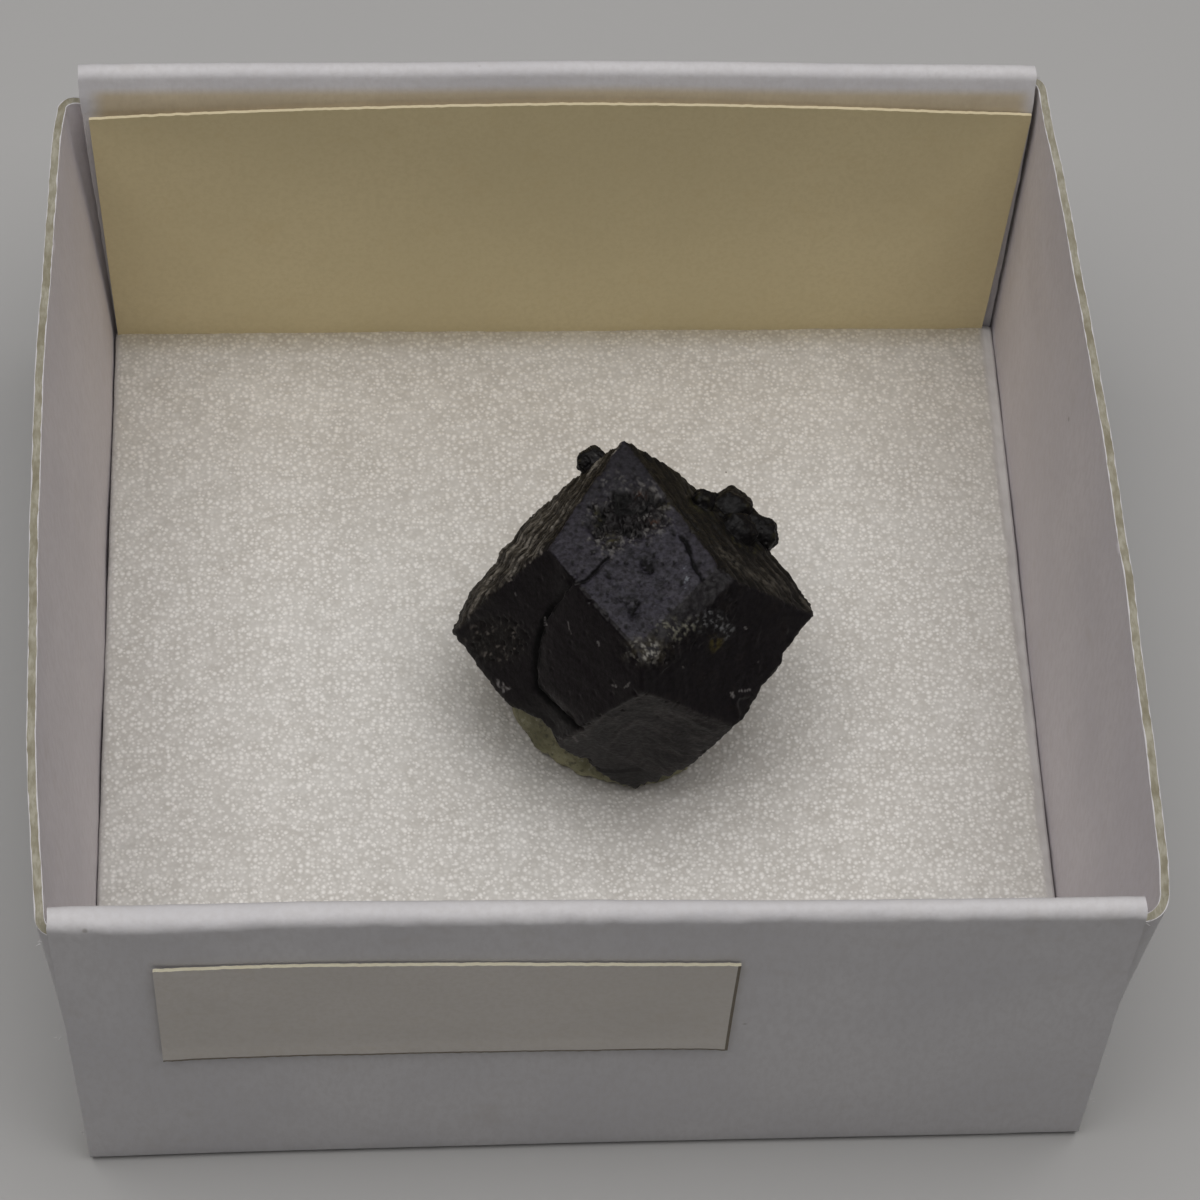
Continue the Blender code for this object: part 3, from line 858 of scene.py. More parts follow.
    # olive and whitish crust by the near corner and down the chipped edge
    crust = smooth(100, 25, np.hypot((x - 850) * 0.75, (y - 905) * 1.25)) * seen
    lay_on(crust * smooth(-0.3, 0.3, fbm(p / 0.4, 3, 132)) * 0.7, (0.034, 0.029, 0.018), 0.6, 1.0)
    lay_on(smooth(78, 30, np.hypot((x - 848) * 0.75, (y - 908) * 1.25)) * seen * chalk, (0.185, 0.178, 0.160), 0.62, 1.0)
    e1 = smooth(36, 8, line_dist(x, y, [(905, 812), (940, 800), (968, 850), (1010, 812), (1035, 795)])) * seen
    lay_on(e1 * smooth(0.0, 0.32, fbm(p / 0.22, 3, 118)) * 0.75, (0.150, 0.146, 0.116), 0.6, 1.0)
    e2 = smooth(44, 14, line_dist(x, y, [(1060, 800), (1110, 770), (1150, 800), (1165, 835)])) * seen
    lay_on(e2 * 0.5, (0.0120, 0.0118, 0.0120), 0.5, 1.0)
    lay_on(e2 * smooth(0.08, 0.40, fbm(p / 0.18, 3, 119)) * 0.85, (0.112, 0.114, 0.117), 0.5, 1.0)
    e3 = smooth(56, 14, np.hypot(x - 1122, y - 880)) * seen
    lay_on(e3 * smooth(-0.1, 0.35, fbm(p / 0.3, 3, 120)) * 0.9, (0.046, 0.038, 0.012), 0.6, 0.9)
    # scratches and chalky flecks, broken up
    white = np.zeros(n)
    for ln, wd in (([(262, 1012), (270, 1040), (282, 1060)], 5.5), ([(285, 1030), (292, 1052)], 5), ([(272, 1062), (300, 1058), (310, 1046)], 5.5),
                   ([(300, 1040), (296, 1062)], 4.5), ([(312, 668), (330, 675), (340, 690)], 3.5), ([(452, 772), (456, 802)], 4.5),
                   ([(655, 872), (664, 886)], 4.5), ([(714, 1040), (726, 1042)], 5), ([(762, 1046), (772, 1046), (782, 1034)], 5),
                   ([(562, 1244), (580, 1262)], 5), ([(508, 1244), (516, 1248)], 4.5), ([(545, 792), (552, 840)], 2.6)):
        white = np.maximum(white, smooth(wd, wd * 0.3, line_dist(x * 0.5 + X * 0.5, y * 0.5 + Y * 0.5, ln)))
    for ln, wd in (([(1178, 1080), (1192, 1066), (1215, 1062), (1240, 1056), (1252, 1052)], 4.0), ([(1182, 1066), (1192, 1086)], 5),
                   ([(985, 965), (992, 970)], 4), ([(1236, 812), (1246, 820)], 4.5), ([(1280, 944), (1292, 950)], 3.5)):
        white = np.maximum(white, 0.8 * smooth(wd, wd * 0.3, line_dist(x * 0.5 + X * 0.5, y * 0.5 + Y * 0.5, ln)))
    lay_on(white * seen * smooth(-0.35, 0.05, grain) * 0.85, (0.19, 0.18, 0.178), 0.6)
    # upper left and upper right faces: dark, with paler ridges that run along them
    upl = (face == UPL) * 1.0
    run = streaks(p, UPL, *EDGE_L, 2.6, 0.33, 71)
    lay_on(upl, (0.0120, 0.0100, 0.0085), 0.55, 1.0)
    lay_on(upl * smooth(-0.05, 0.55, run + 0.25 * grain) * 0.9, (0.085, 0.076, 0.064), 0.55, 1.0)
    lay_on(upl * smooth(0.32, 0.70, run + 0.35 * grain) * 0.8, (0.215, 0.198, 0.172), 0.55, 1.0)
    lay_on(upl * smooth(-0.1, -0.45, run) * 0.8, (0.0050, 0.0042, 0.0038), 0.55, 1.0)
    upr = (face == UPR) * 1.0
    run = streaks(p, UPR, *EDGE_R, 2.4, 0.36, 73)
    lay_on(upr, (0.0082, 0.0073, 0.0064), 0.50, 1.0)
    lay_on(upr * smooth(-0.05, 0.55, run + 0.2 * grain) * 0.85, (0.0200, 0.0178, 0.0142), 0.5, 1.0)
    lay_on(upr * smooth(0.35, 0.7, run + 0.3 * grain) * smooth(1100, 1300, x) * 0.65, (0.056, 0.050, 0.042), 0.5, 1.0)
    streak = smooth(18, 5, line_dist(x, y, [(1130, 512), (1190, 560), (1250, 600), (1340, 655)]))
    streak = np.maximum(streak, smooth(8, 3, line_dist(x, y, [(1290, 580), (1380, 650), (1450, 700), (1500, 760)])))
    lay_on(upr * streak * smooth(-0.35, 0.25, grain + 0.6 * run) * 0.6, (0.074, 0.066, 0.054), 0.5)
    lay_on(upr * smooth(60, 20, np.hypot((x - 1065) * 0.9, y - 318)) * smooth(-0.2, 0.3, grain) * 0.7, (0.040, 0.038, 0.016), 0.55)
    # the sides that face away: dull, with a brownish and olive skin in the hollows
    other = np.isin(face, (LOWL, LOWR, BACK, BACKL, BACKR, CONTACT)) * 1.0
    lay_on(other, (0.0120, 0.0104, 0.0100), 0.52, 0.9)
    lay_on(other * smooth(0.15, 0.6, fbm(p / 0.9, 4, 125)) * 0.7, (0.038, 0.034, 0.022), 0.55, 1.0)
    # small crystals, with an olive skin between them
    lay_on(sat, (0.0052, 0.0046, 0.0048), 0.52, 0.9)
    lay_on(sat * smooth(0.1, 0.5, fbm(p / 0.35, 3, 133)) * 0.55, (0.0150, 0.0146, 0.0156), 0.5, 0.9)
    fringe = smooth(1.10, 1.40, away) * smooth(2.1, 1.6, away)
    lay_on(fringe * smooth(0.0, 0.45, fbm(p / 0.33, 3, 126)) * 0.7, (0.034, 0.031, 0.014), 0.6, 1.0)
    lay_on(sat * speck * smooth(0.2, 0.5, grain) * 0.5, (0.085, 0.082, 0.080), 0.5)
    # worn edges catch a little grey
    two = np.sort(slack, 1)
    worn = smooth(0.10, 0.02, two[:, 1] - two[:, 0]) * smooth(-0.1, 0.4, fbm(p / 0.35, 3, 127))
    lay_on(worn * 0.35, (0.030, 0.027, 0.027), 0.55, 0.7)
    paint(ob, "tone", tone)
    mark(ob, "dull", rough)
    mark(ob, "lump", lump)


def garnet_material():
    m = Mat("black_garnet")
    tone = m.attr("tone", "Color")
    lump = m.attr("lump")
    fine = m.noise(5600, 2.5, 0.62)
    col = m.mix(m.band(fine, 0.35, 0.7), m.mix(1.0, tone, (1.18, 1.18, 1.18), "MULTIPLY"), m.mix(1.0, tone, (0.62, 0.60, 0.58), "MULTIPLY"))
    dust = m.calc("MULTIPLY", m.band(fine, 0.66, 0.80), lump)
    col = m.mix(m.calc("MULTIPLY", dust, 0.5), col, (0.085, 0.080, 0.072))
    m.set(Base_Color=col, IOR=1.5, Specular_IOR_Level=0.13)
    dull = m.attr("dull")
    r = m.calc("ADD", dull, m.calc("MULTIPLY", m.calc("SUBTRACT", fine, 0.5), 0.35), clamp=True)
    m.set(Roughness=r)
    m.set(Normal=m.bump(m.calc("MULTIPLY", fine, m.calc("ADD", lump, 0.25)), 0.040, 0.8))
    return m.mat


# --------------------------------------------------------------------------------------------
# The rock under it
# --------------------------------------------------------------------------------------------
ROCK_FOOT = [(-3.0, -0.9), (-2.55, -2.2), (-1.85, -3.6), (-1.0, -4.5), (0.45, -5.3), (2.0, -5.75), (3.3, -5.75), (4.6, -5.2),
             (5.4, -4.2), (5.7, -1.8), (5.9, 0.2), (5.5, 2.1), (4.0, 3.4), (1.8, 3.9), (-0.6, 3.4), (-2.3, 2.1), (-3.0, 0.6)]


def rock_top(x, y):
    """Height of the crystal's underside over a point."""
    n, d = NORMALS[CONTACT], DISTS[CONTACT]
    return CENTRE[2] + (d - n[0] * (x - CENTRE[0]) - n[1] * (y - CENTRE[1])) / n[2]


def make_rock(mat):
    na, nh = ((340, 96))
    cx, cy = 1.4, -0.9
    pts = np.array(ROCK_FOOT)
    pa = np.arctan2(pts[:, 1] - cy, pts[:, 0] - cx)
    pr = np.hypot(pts[:, 1] - cy, pts[:, 0] - cx)
    order = np.argsort(pa)
    pa, pr = pa[order], pr[order]
    pa = np.concatenate([pa - 2 * math.pi, pa, pa + 2 * math.pi])
    pr = np.tile(pr, 3)
    a = np.linspace(-math.pi, math.pi, na, endpoint=False)
    k = np.ones(7) / 7
    rr = np.interp(np.linspace(-math.pi - 0.2, math.pi + 0.2, na * 2), pa, pr)
    foot = np.interp(a, np.linspace(-math.pi - 0.2, math.pi + 0.2, na * 2), np.convolve(np.pad(rr, 3, mode="edge"), k, "valid"))
    # a profile up the side, over a shoulder and in to the middle, and in below to the middle
    t = np.linspace(0, 1, nh)
    V = []
    for i in range(nh):
        s = t[i]
        if s < 0.10:
            r, z = foot * (s / 0.10) * 0.94, np.full(na, 3.97)
        elif s < 0.60:
            u = (s - 0.10) / 0.50
            bulge = 0.94 + 0.07 * math.sin(math.pi * min(1, u * 1.2)) - 0.05 * u
            r = foot * bulge
            z = 3.97 + u * (rock_top(cx + r * np.cos(a), cy + r * np.sin(a)) - 0.1 - 3.97)
        else:
            u = (s - 0.60) / 0.40
            r = foot * 0.89 * (1 - u)
            z = rock_top(cx + r * np.cos(a), cy + r * np.sin(a)) - 0.1 + 0.35 * smooth(0, 0.3, u)
        z = np.minimum(z, 9.3)
        V.append(np.stack([cx + r * np.cos(a), cy + r * np.sin(a), z], 1))
    v = np.vstack(V)
    c = np.array([cx, cy, 5.6])
    d = v - c
    d /= np.linalg.norm(d, axis=1)[:, None] + 1e-9
    f1, f2, _ = worley(v / 0.95, 401)
    g1, g2, _ = worley(v / 0.42, 402)
    h = 0.24 * (f2 - f1) - 0.09 + 0.07 * (g2 - g1) + 0.10 * fbm(v / 0.8, 4, 403) + 0.025 * ridged(v / 0.18, 2, 404)
    side = np.repeat(smooth(0.02, 0.12, t) * smooth(0.95, 0.65, t), na)
    v = v + d * (h * side)[:, None] * np.array([1, 1, 0.6])
    v[:, 2] = np.maximum(v[:, 2], 3.95)
    # first and last rows are the two middle points
    v0, v1 = v[:na].mean(0), v[-na:].mean(0)
    body = v[na:-na]
    sh = Shape()
    rows = nh - 2
    faces = grid_faces(rows, na, wrap_v=True, flip=True)
    verts = np.vstack([body, v0[None], v1[None]])
    i = np.arange(na)
    low = np.stack([np.full(na, rows * na), (i + 1) % na, i], 1)
    top = np.stack([np.full(na, rows * na + 1), (rows - 1) * na + i, (rows - 1) * na + (i + 1) % na], 1)
    sh.add(verts, faces)
    sh.f.append(low)
    sh.m.append(np.zeros(na, int))
    sh.f.append(top)
    sh.m.append(np.zeros(na, int))
    ob = sh.make("matrix", [mat])
    outward(ob)
    return ob


def outward(ob):
    bm = bmesh.new()
    bm.from_mesh(ob.data)
    bmesh.ops.recalc_face_normals(bm, faces=bm.faces)
    bm.to_mesh(ob.data)
    bm.free()


def rock_material():
    m = Mat("pale_green_rock")
    big = m.noise(820, 2, 0.55)
    fine = m.noise(3400, 2.5, 0.62)
    col = m.mix(m.band(big, 0.34, 0.66), (0.150, 0.145, 0.062), (0.330, 0.315, 0.175))
    col = m.mix(m.band(fine, 0.54, 0.68, 0.0, 0.80), col, (0.070, 0.066, 0.034))
    col = m.mix(m.band(fine, 0.42, 0.30, 0.0, 0.65), col, (0.52, 0.50, 0.36))
    m.set(Base_Color=col, IOR=1.62, Transmission_Weight=0.25, Roughness=m.band(fine, 0.3, 0.7, 0.36, 0.54))
    m.set(Normal=m.bump(fine, 0.08, 0.8))
    return m.mat


# --------------------------------------------------------------------------------------------
# The foam pad
# --------------------------------------------------------------------------------------------
FOAM_X = (-19.46, 19.53)
FOAM_Y = (-18.62, 17.98)


def foam_height(x, y):
    p = np.stack([x, y, x * 0], 1)
    f1, f2, who = worley(p / 0.32, 501, flat=True)
    bead = np.sqrt(np.clip(1 - (f1 / 0.62) ** 2, 0, 1)) * (0.35 + 0.65 * who)
    z = 0.022 * bead - 0.012
    z += 0.045 * fbm(p / 1.6, 3, 502) + 0.10 * fbm(p / 7.5, 2, 503) + 0.018 * noise(p / 0.3, 504)
    # pressed down a little by the specimen
    r = np.hypot((x - 1.4) / 1.05, (y + 0.9) / 1.15)
    z += -0.16 * smooth(6.6, 3.6, r)
    # a few torn cells
    for tx, ty, tr in ((12.9, -4.1, 0.10), (-14.0, 6.0, 0.16), (9.5, 12.5, 0.14), (-8.8, -12.8, 0.15), (15.3, -13.9, 0.16), (3.5, 9.0, 0.13)):
        z += -0.05 * smooth(tr * 1.6, tr * 0.4, np.hypot(x - tx, y - ty))
    # the cut edges: rounded at the left, sloping and smooth at the right
    z += -0.14 * smooth(0.30, 0.0, x - FOAM_X[0]) ** 2
    edge_r = 19.02 + 0.10 * noise(np.stack([x * 0, y / 4.0, x * 0], 1), 505) + 0.05 * noise(np.stack([x * 0, y / 0.9, x * 0], 1), 506)
    t = np.clip((x - edge_r) / (FOAM_X[1] - edge_r), 0, 1)
    skirt = smooth(-0.05, 0.25, x - edge_r)
    ripple = 0.05 * noise(np.stack([x / 1.5, y / 0.45, x * 0], 1), 507) * smooth(8, 13, y)
    z = z * (1 - skirt) + skirt * (-0.05 - 0.34 * t + ripple + 0.02 * noise(p / 0.6, 508))
    z += -0.15 * smooth(0.5, 0.0, y - FOAM_Y[0]) ** 2 - 0.15 * smooth(0.5, 0.0, FOAM_Y[1] - y) ** 2
    return 3.98 + z, skirt


def make_foam(mat):
    nx, ny = ((282, 272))
    x = np.linspace(*FOAM_X, nx)
    y = np.linspace(*FOAM_Y, ny)
    gx, gy = np.meshgrid(x, y, indexing="ij")
    gx, gy = gx.ravel(), gy.ravel()
    jx = 0.03 * noise(np.stack([gx / 0.2, gy / 0.2, gx * 0], 1), 511) * (np.abs(gx) < 19.0)
    jy = 0.03 * noise(np.stack([gx / 0.2, gy / 0.2, gx * 0 + 5], 1), 512) * (np.abs(gy) < 18.3)
    z, skirt = foam_height(gx + jx, gy + jy)
    edge_wave = 0.05 * noise(np.stack([gx * 0 + 3, gy / 1.7, gx * 0], 1), 513)
    gxx = gx + jx + 0.5 * np.where(gx < -19.3, edge_wave, 0) + np.where(gx > 19.3, 0.5 * edge_wave + 0.10 * smooth(-8, 14, gy), 0)
    top = np.stack([gxx, gy + jy, z], 1)
    sh = Shape()
    sh.add(top, grid_faces(nx, ny))
    # sides: rings of the same outline, going down and in a little, then a flat bottom
    ring = np.concatenate([np.arange(nx) * ny, (nx - 1) * ny + np.arange(1, ny), (np.arange(nx - 2, -1, -1)) * ny + ny - 1,
                           np.arange(ny - 2, 0, -1)])
    rim = top[ring]
    rows = [rim]
    levels = np.linspace(0, 1, 12)[1:]
    for s in levels:
        r = rim.copy()
        inset = 0.05 + 0.10 * math.sin(math.pi * s)
        r[:, 0] -= np.sign(r[:, 0]) * inset * (np.abs(rim[:, 0]) > 19.0) * min(1, s * 5)
        r[:, 1] -= np.sign(r[:, 1]) * inset * (np.abs(rim[:, 1]) > 18.3) * min(1, s * 5)
        r[:, 2] = rim[:, 2] * (1 - s) + 0.62 * s
        r[:, :2] += (0.05 * noise(r / 0.5, 514))[:, None] * np.sign(r[:, :2]) * (0.0 if s == 1 else 1.0) * np.stack(
            [np.abs(rim[:, 0]) > 19.0, np.abs(rim[:, 1]) > 18.3], 1)
        rows.append(r)
    n = len(ring)
    base = sh.n
    sides = np.vstack(rows[1:])
    f = []
    i = np.arange(n)
    j = (i + 1) % n
    f.append(np.stack([ring[i], base + i, base + j, ring[j]], 1))
    for k in range(len(levels) - 1):
        a, b = base + k * n, base + (k + 1) * n
        f.append(np.stack([a + i, b + i, b + j, a + j], 1))
    last = base + (len(levels) - 1) * n
    mid = sides[-n:].mean(0)
    sh.v.append(np.vstack([sides, mid[None]]))
    sh.n += len(sides) + 1
    quads = np.vstack(f)
    sh.f.append(quads)
    sh.m.append(np.zeros(len(quads), int))
    fan = np.stack([np.full(n, sh.n - 1), last + j, last + i], 1)
    sh.f.append(fan)
    sh.m.append(np.zeros(n, int))
    ob = sh.make("foam_pad", [mat])
    outward(ob)
    p = points(ob)
    r = np.hypot((p[:, 0] - 1.6) / 1.05, (p[:, 1] + 1.2) / 1.15)
    sk = np.zeros(len(p))
    sk[:len(skirt)] = skirt
    sk[:len(skirt)] = np.maximum(sk[:len(skirt)], 0.6 * smooth(0.22, 0.05, gx - FOAM_X[0]))
    sk[len(skirt):] = 1.0
    mark(ob, "skin", sk)
    return ob


def foam_material():
    m = Mat("white_foam")
    skin = m.attr("skin")
    big = m.noise(130, 1, 0.5)
    patch = m.noise(1150, 2, 0.6)
    # painted highlight: bright dots on the cells, painted glints of light off the glossy cell walls; the same dots also
    # give the cells their bumps and gloss
    v1, c1 = m.cells(3300, flat=True)
    v2, c2 = m.cells(5200, flat=True)
    c1, c2 = m.axis(0, c1), m.axis(1, c2)
    d1 = m.calc("MULTIPLY", m.band(v1, 0.50, 0.06), m.band(c1, 0.0, 1.0, 0.15, 0.90, "SMOOTHSTEP"))
    d2 = m.calc("MULTIPLY", m.band(v2, 0.52, 0.06), m.band(c2, 0.0, 1.0, 0.10, 0.80, "SMOOTHSTEP"))
    cell_bumps_and_glints = m.calc("MAXIMUM", d1, d2)
    cell_bumps_and_glints = m.calc("MULTIPLY", cell_bumps_and_glints, m.calc("SUBTRACT", 1.0, skin))
    base = m.mix(m.band(patch, 0.32, 0.68), (0.530, 0.510, 0.478), (0.592, 0.574, 0.545))
    base = m.mix(m.band(big, 0.3, 0.7), base, m.mix(1.0, base, (0.95, 0.94, 0.93), "MULTIPLY"))
    # painted glints on the cells; then painted shade: the pad darker and warmer towards the back, where less light
    # falls, and darker still in the crease in front of the label card
    col = m.mix(cell_bumps_and_glints, base, (0.845, 0.822, 0.790))
    col = m.mix(m.band(m.axis(1), 0.003, 0.015, 0.0, 1.0), col, m.mix(1.0, col, (0.82, 0.80, 0.775), "MULTIPLY"))
    col = m.mix(m.band(m.axis(1), 0.0162, 0.0177, 0.0, 1.0), col, m.mix(1.0, col, (0.74, 0.70, 0.60), "MULTIPLY"))
    col = m.mix(m.calc("MULTIPLY", skin, 0.9), col, m.mix(m.band(patch, 0.3, 0.7), (0.60, 0.58, 0.565), (0.68, 0.665, 0.65)))
    col = m.mix(m.near((12.92, -4.08, 4.0), 0.11, 0.5), col, (0.03, 0.028, 0.026))
    for q in ((-14.6, 5.2, 4.0, 0.05), (7.2, 9.9, 4.0, 0.05), (15.6, -12.2, 4.0, 0.05)):
        col = m.mix(m.near(q[:3], q[3], 0.5), col, (0.12, 0.10, 0.08))
    m.set(Base_Color=col, Roughness=m.band(cell_bumps_and_glints, 0.0, 1.0, 0.62, 0.36, "LINEAR"), IOR=1.45)
    m.set(Normal=m.bump(cell_bumps_and_glints, 0.04, 0.7))
    return m.mat


# --------------------------------------------------------------------------------------------
# The card box: one folded blank. The front and back walls are doubled over with a rolled top,
# the side walls are single board, and their tabs go between the doubled plies.
# --------------------------------------------------------------------------------------------
PLY = 0.42
LINER, RAW, LIT_INSIDE = 0, 1, 2


def ribbon(path, nx, x0, x1, thick, shift, flip=False):
    """A board of that thickness, swept along X: path is its middle line in (y, z), as points.
    shift(x, y, z) moves the finished points. Ends and rims are closed."""
    path = np.asarray(path, float)
    d = np.gradient(path, axis=0)
    d /= np.linalg.norm(d, axis=1)[:, None]
    nrm = np.stack([-d[:, 1], d[:, 0]], 1)
    half = thick / 2
    rows = [path + nrm * half, path - nrm * half]
    loop = np.vstack([rows[0], rows[1][::-1]])
    xs = np.linspace(x0, x1, nx)
    n = len(loop)
    v = np.stack([np.repeat(xs, n), np.tile(loop[:, 0], nx), np.tile(loop[:, 1], nx)], 1)
    v = shift(v)
    f = grid_faces(nx, n, wrap_v=True)
    mats = np.full(len(f), LINER)
    k = f.min(1) % n
    # the two rims of the board (last of the first row to first of the second, and the wrap)
    m_rim = np.isin(np.arange(len(f)) % n, (len(path) - 1, n - 1))
    mats[m_rim] = RAW
    # caps across the thickness at both ends
    p = len(path)
    i = np.arange(p - 1)
    cap0 = np.stack([i, i + 1, n - 2 - i, n - 1 - i], 1)
    cap1 = cap0 + (nx - 1) * n
    return v, [(f, mats), (cap0, np.full(p - 1, RAW)), (cap1[:, ::-1], np.full(p - 1, RAW))]


def arc(cy, cz, r, a0, a1, n):
    a = np.radians(np.linspace(a0, a1, n))
    return np.stack([cy + r * np.cos(a), cz + r * np.sin(a)], 1)


def fold_path(sign, foot, head, top, roll, inner, stop=0):
    """Middle line of a doubled wall, from under the base up the outside, over the roll and down inside.
    sign -1 is the front wall and +1 the back one; foot and head say how far out its outer face is low down
    and at the top; inner lists the inner ply's middle line below the roll, as (distance from the middle, height).
    stop is how many degrees short of straight down the roll hands over to it."""
    h = PLY / 2
    yo = sign * (foot - h)
    pts = [np.array([[yo - sign * 2.2, h], [yo - sign * 1.2, h]])]
    c = 0.38
    a0, a1 = (-90, -180) if sign < 0 else (-90, 0)
    pts.append(arc(yo - sign * c, h + c, c, a0, a1, 7))
    zs = np.linspace(1.2, top - roll - 0.3, 26)
    pts.append(np.stack([yo + sign * (head - foot) * np.clip((zs - 0.6) / (top - roll - 0.9), 0, 1), zs], 1))
    cy = sign * (head - roll)
    a0, a1 = (180, stop) if sign < 0 else (0, 180 - stop)
    pts.append(arc(cy, top - roll, roll - h, a0, a1, 15))
    yi = np.array([i[0] for i in inner][::-1])
    zi = np.array([i[1] for i in inner][::-1])
    zs = np.concatenate([np.linspace(zi[-1] - 0.1, 17.0, 13), np.linspace(16.3, 0.75, 22)])
    k = np.interp(zs, zi, yi)
    k[1:-1] = 0.25 * k[:-2] + 0.5 * k[1:-1] + 0.25 * k[2:]
    pts.append(np.stack([sign * k, zs], 1))
    path = np.vstack(pts)
    keep = np.concatenate([[True], np.linalg.norm(np.diff(path, axis=0), axis=1) > 1e-3])
    return path[keep]


FRONT = (20.08, 19.80, 19.20, 0.48)
BACKW = (20.10, 20.42, 19.20, 0.44)
# how far each side wall bows out at its rim, by place along the box (y, reach from the middle)
BOW_L = [(-20, 20.42), (-18.9, 20.52), (-17, 20.69), (-15.1, 20.82), (-13.2, 20.95), (-11.3, 21.07), (-9.4, 21.13), (-7.4, 21.2),
         (-5.4, 21.25), (-3.4, 21.3), (-1.3, 21.34), (0.8, 21.38), (2.9, 21.38), (5.1, 21.37), (7.3, 21.35), (9.5, 21.34),
         (11.8, 21.3), (14.1, 21.24), (16.4, 21.17), (18.8, 21.04), (20, 20.95)]
BOW_R = [(-20, 21.05), (-18.9, 21.1), (-17.1, 21.17), (-15.2, 21.23), (-13.2, 21.29), (-9.3, 21.3), (-5.3, 21.27), (-1.1, 21.19),
         (1.1, 21.13), (5.4, 21.03), (7.7, 20.96), (9.9, 20.87), (12.3, 20.75), (14.6, 20.61), (17.0, 20.43), (19.4, 20.22), (20, 20.14)]
FOOT_L = [(-20, 19.72), (-14, 19.82), (20, 19.85)]
FOOT_R = [(-20, 19.98), (0, 19.95), (20, 20.06)]
# the front wall's face stands a little nearer or further along its length (x, nearer by)
FRONT_HEAD = [(-20, -0.10), (-18.4, 0.05), (-16.2, 0.08), (-10.9, -0.08), (-5.5, -0.08), (0, -0.03), (5.3, 0.02), (10.8, 0.07), (16.2, 0.13), (20, 0.14)]
FRONT_FOOT = [(-20, 0.20), (-14.5, 0.11), (0, 0.0), (15, -0.03), (20, -0.06)]
BACK_HEAD = [(-20, 0.09), (-18.7, 0.10), (-15, 0.12), (-6.8, 0.11), (1.4, 0.16), (6, 0.08), (9.9, -0.02), (16.2, -0.12), (19.1, -0.20), (20, -0.23)]


def along(x, table):
    y = np.linspace(-20.5, 20.5, 165)
    t = np.interp(y, [a for a, _ in table], [b for _, b in table])
    t = np.convolve(np.pad(t, 6, mode="edge"), np.ones(13) / 13, "valid")
    return np.interp(x, y, t)


def front_nearer(x, z):
    s = np.clip(z / 18.7, 0, 1)
    return along(x, FRONT_FOOT) * (1 - s) + along(x, FRONT_HEAD) * s


def side_reach(sign, y, z):
    bow = along(y, BOW_L if sign < 0 else BOW_R)
    foot = along(y, FOOT_L if sign < 0 else FOOT_R)
    s = np.clip(z / 18.0, 0, 1.1)
    return foot + (bow - foot) * s ** (1.9 - 0.5 * smooth(15, 20, np.abs(y)))


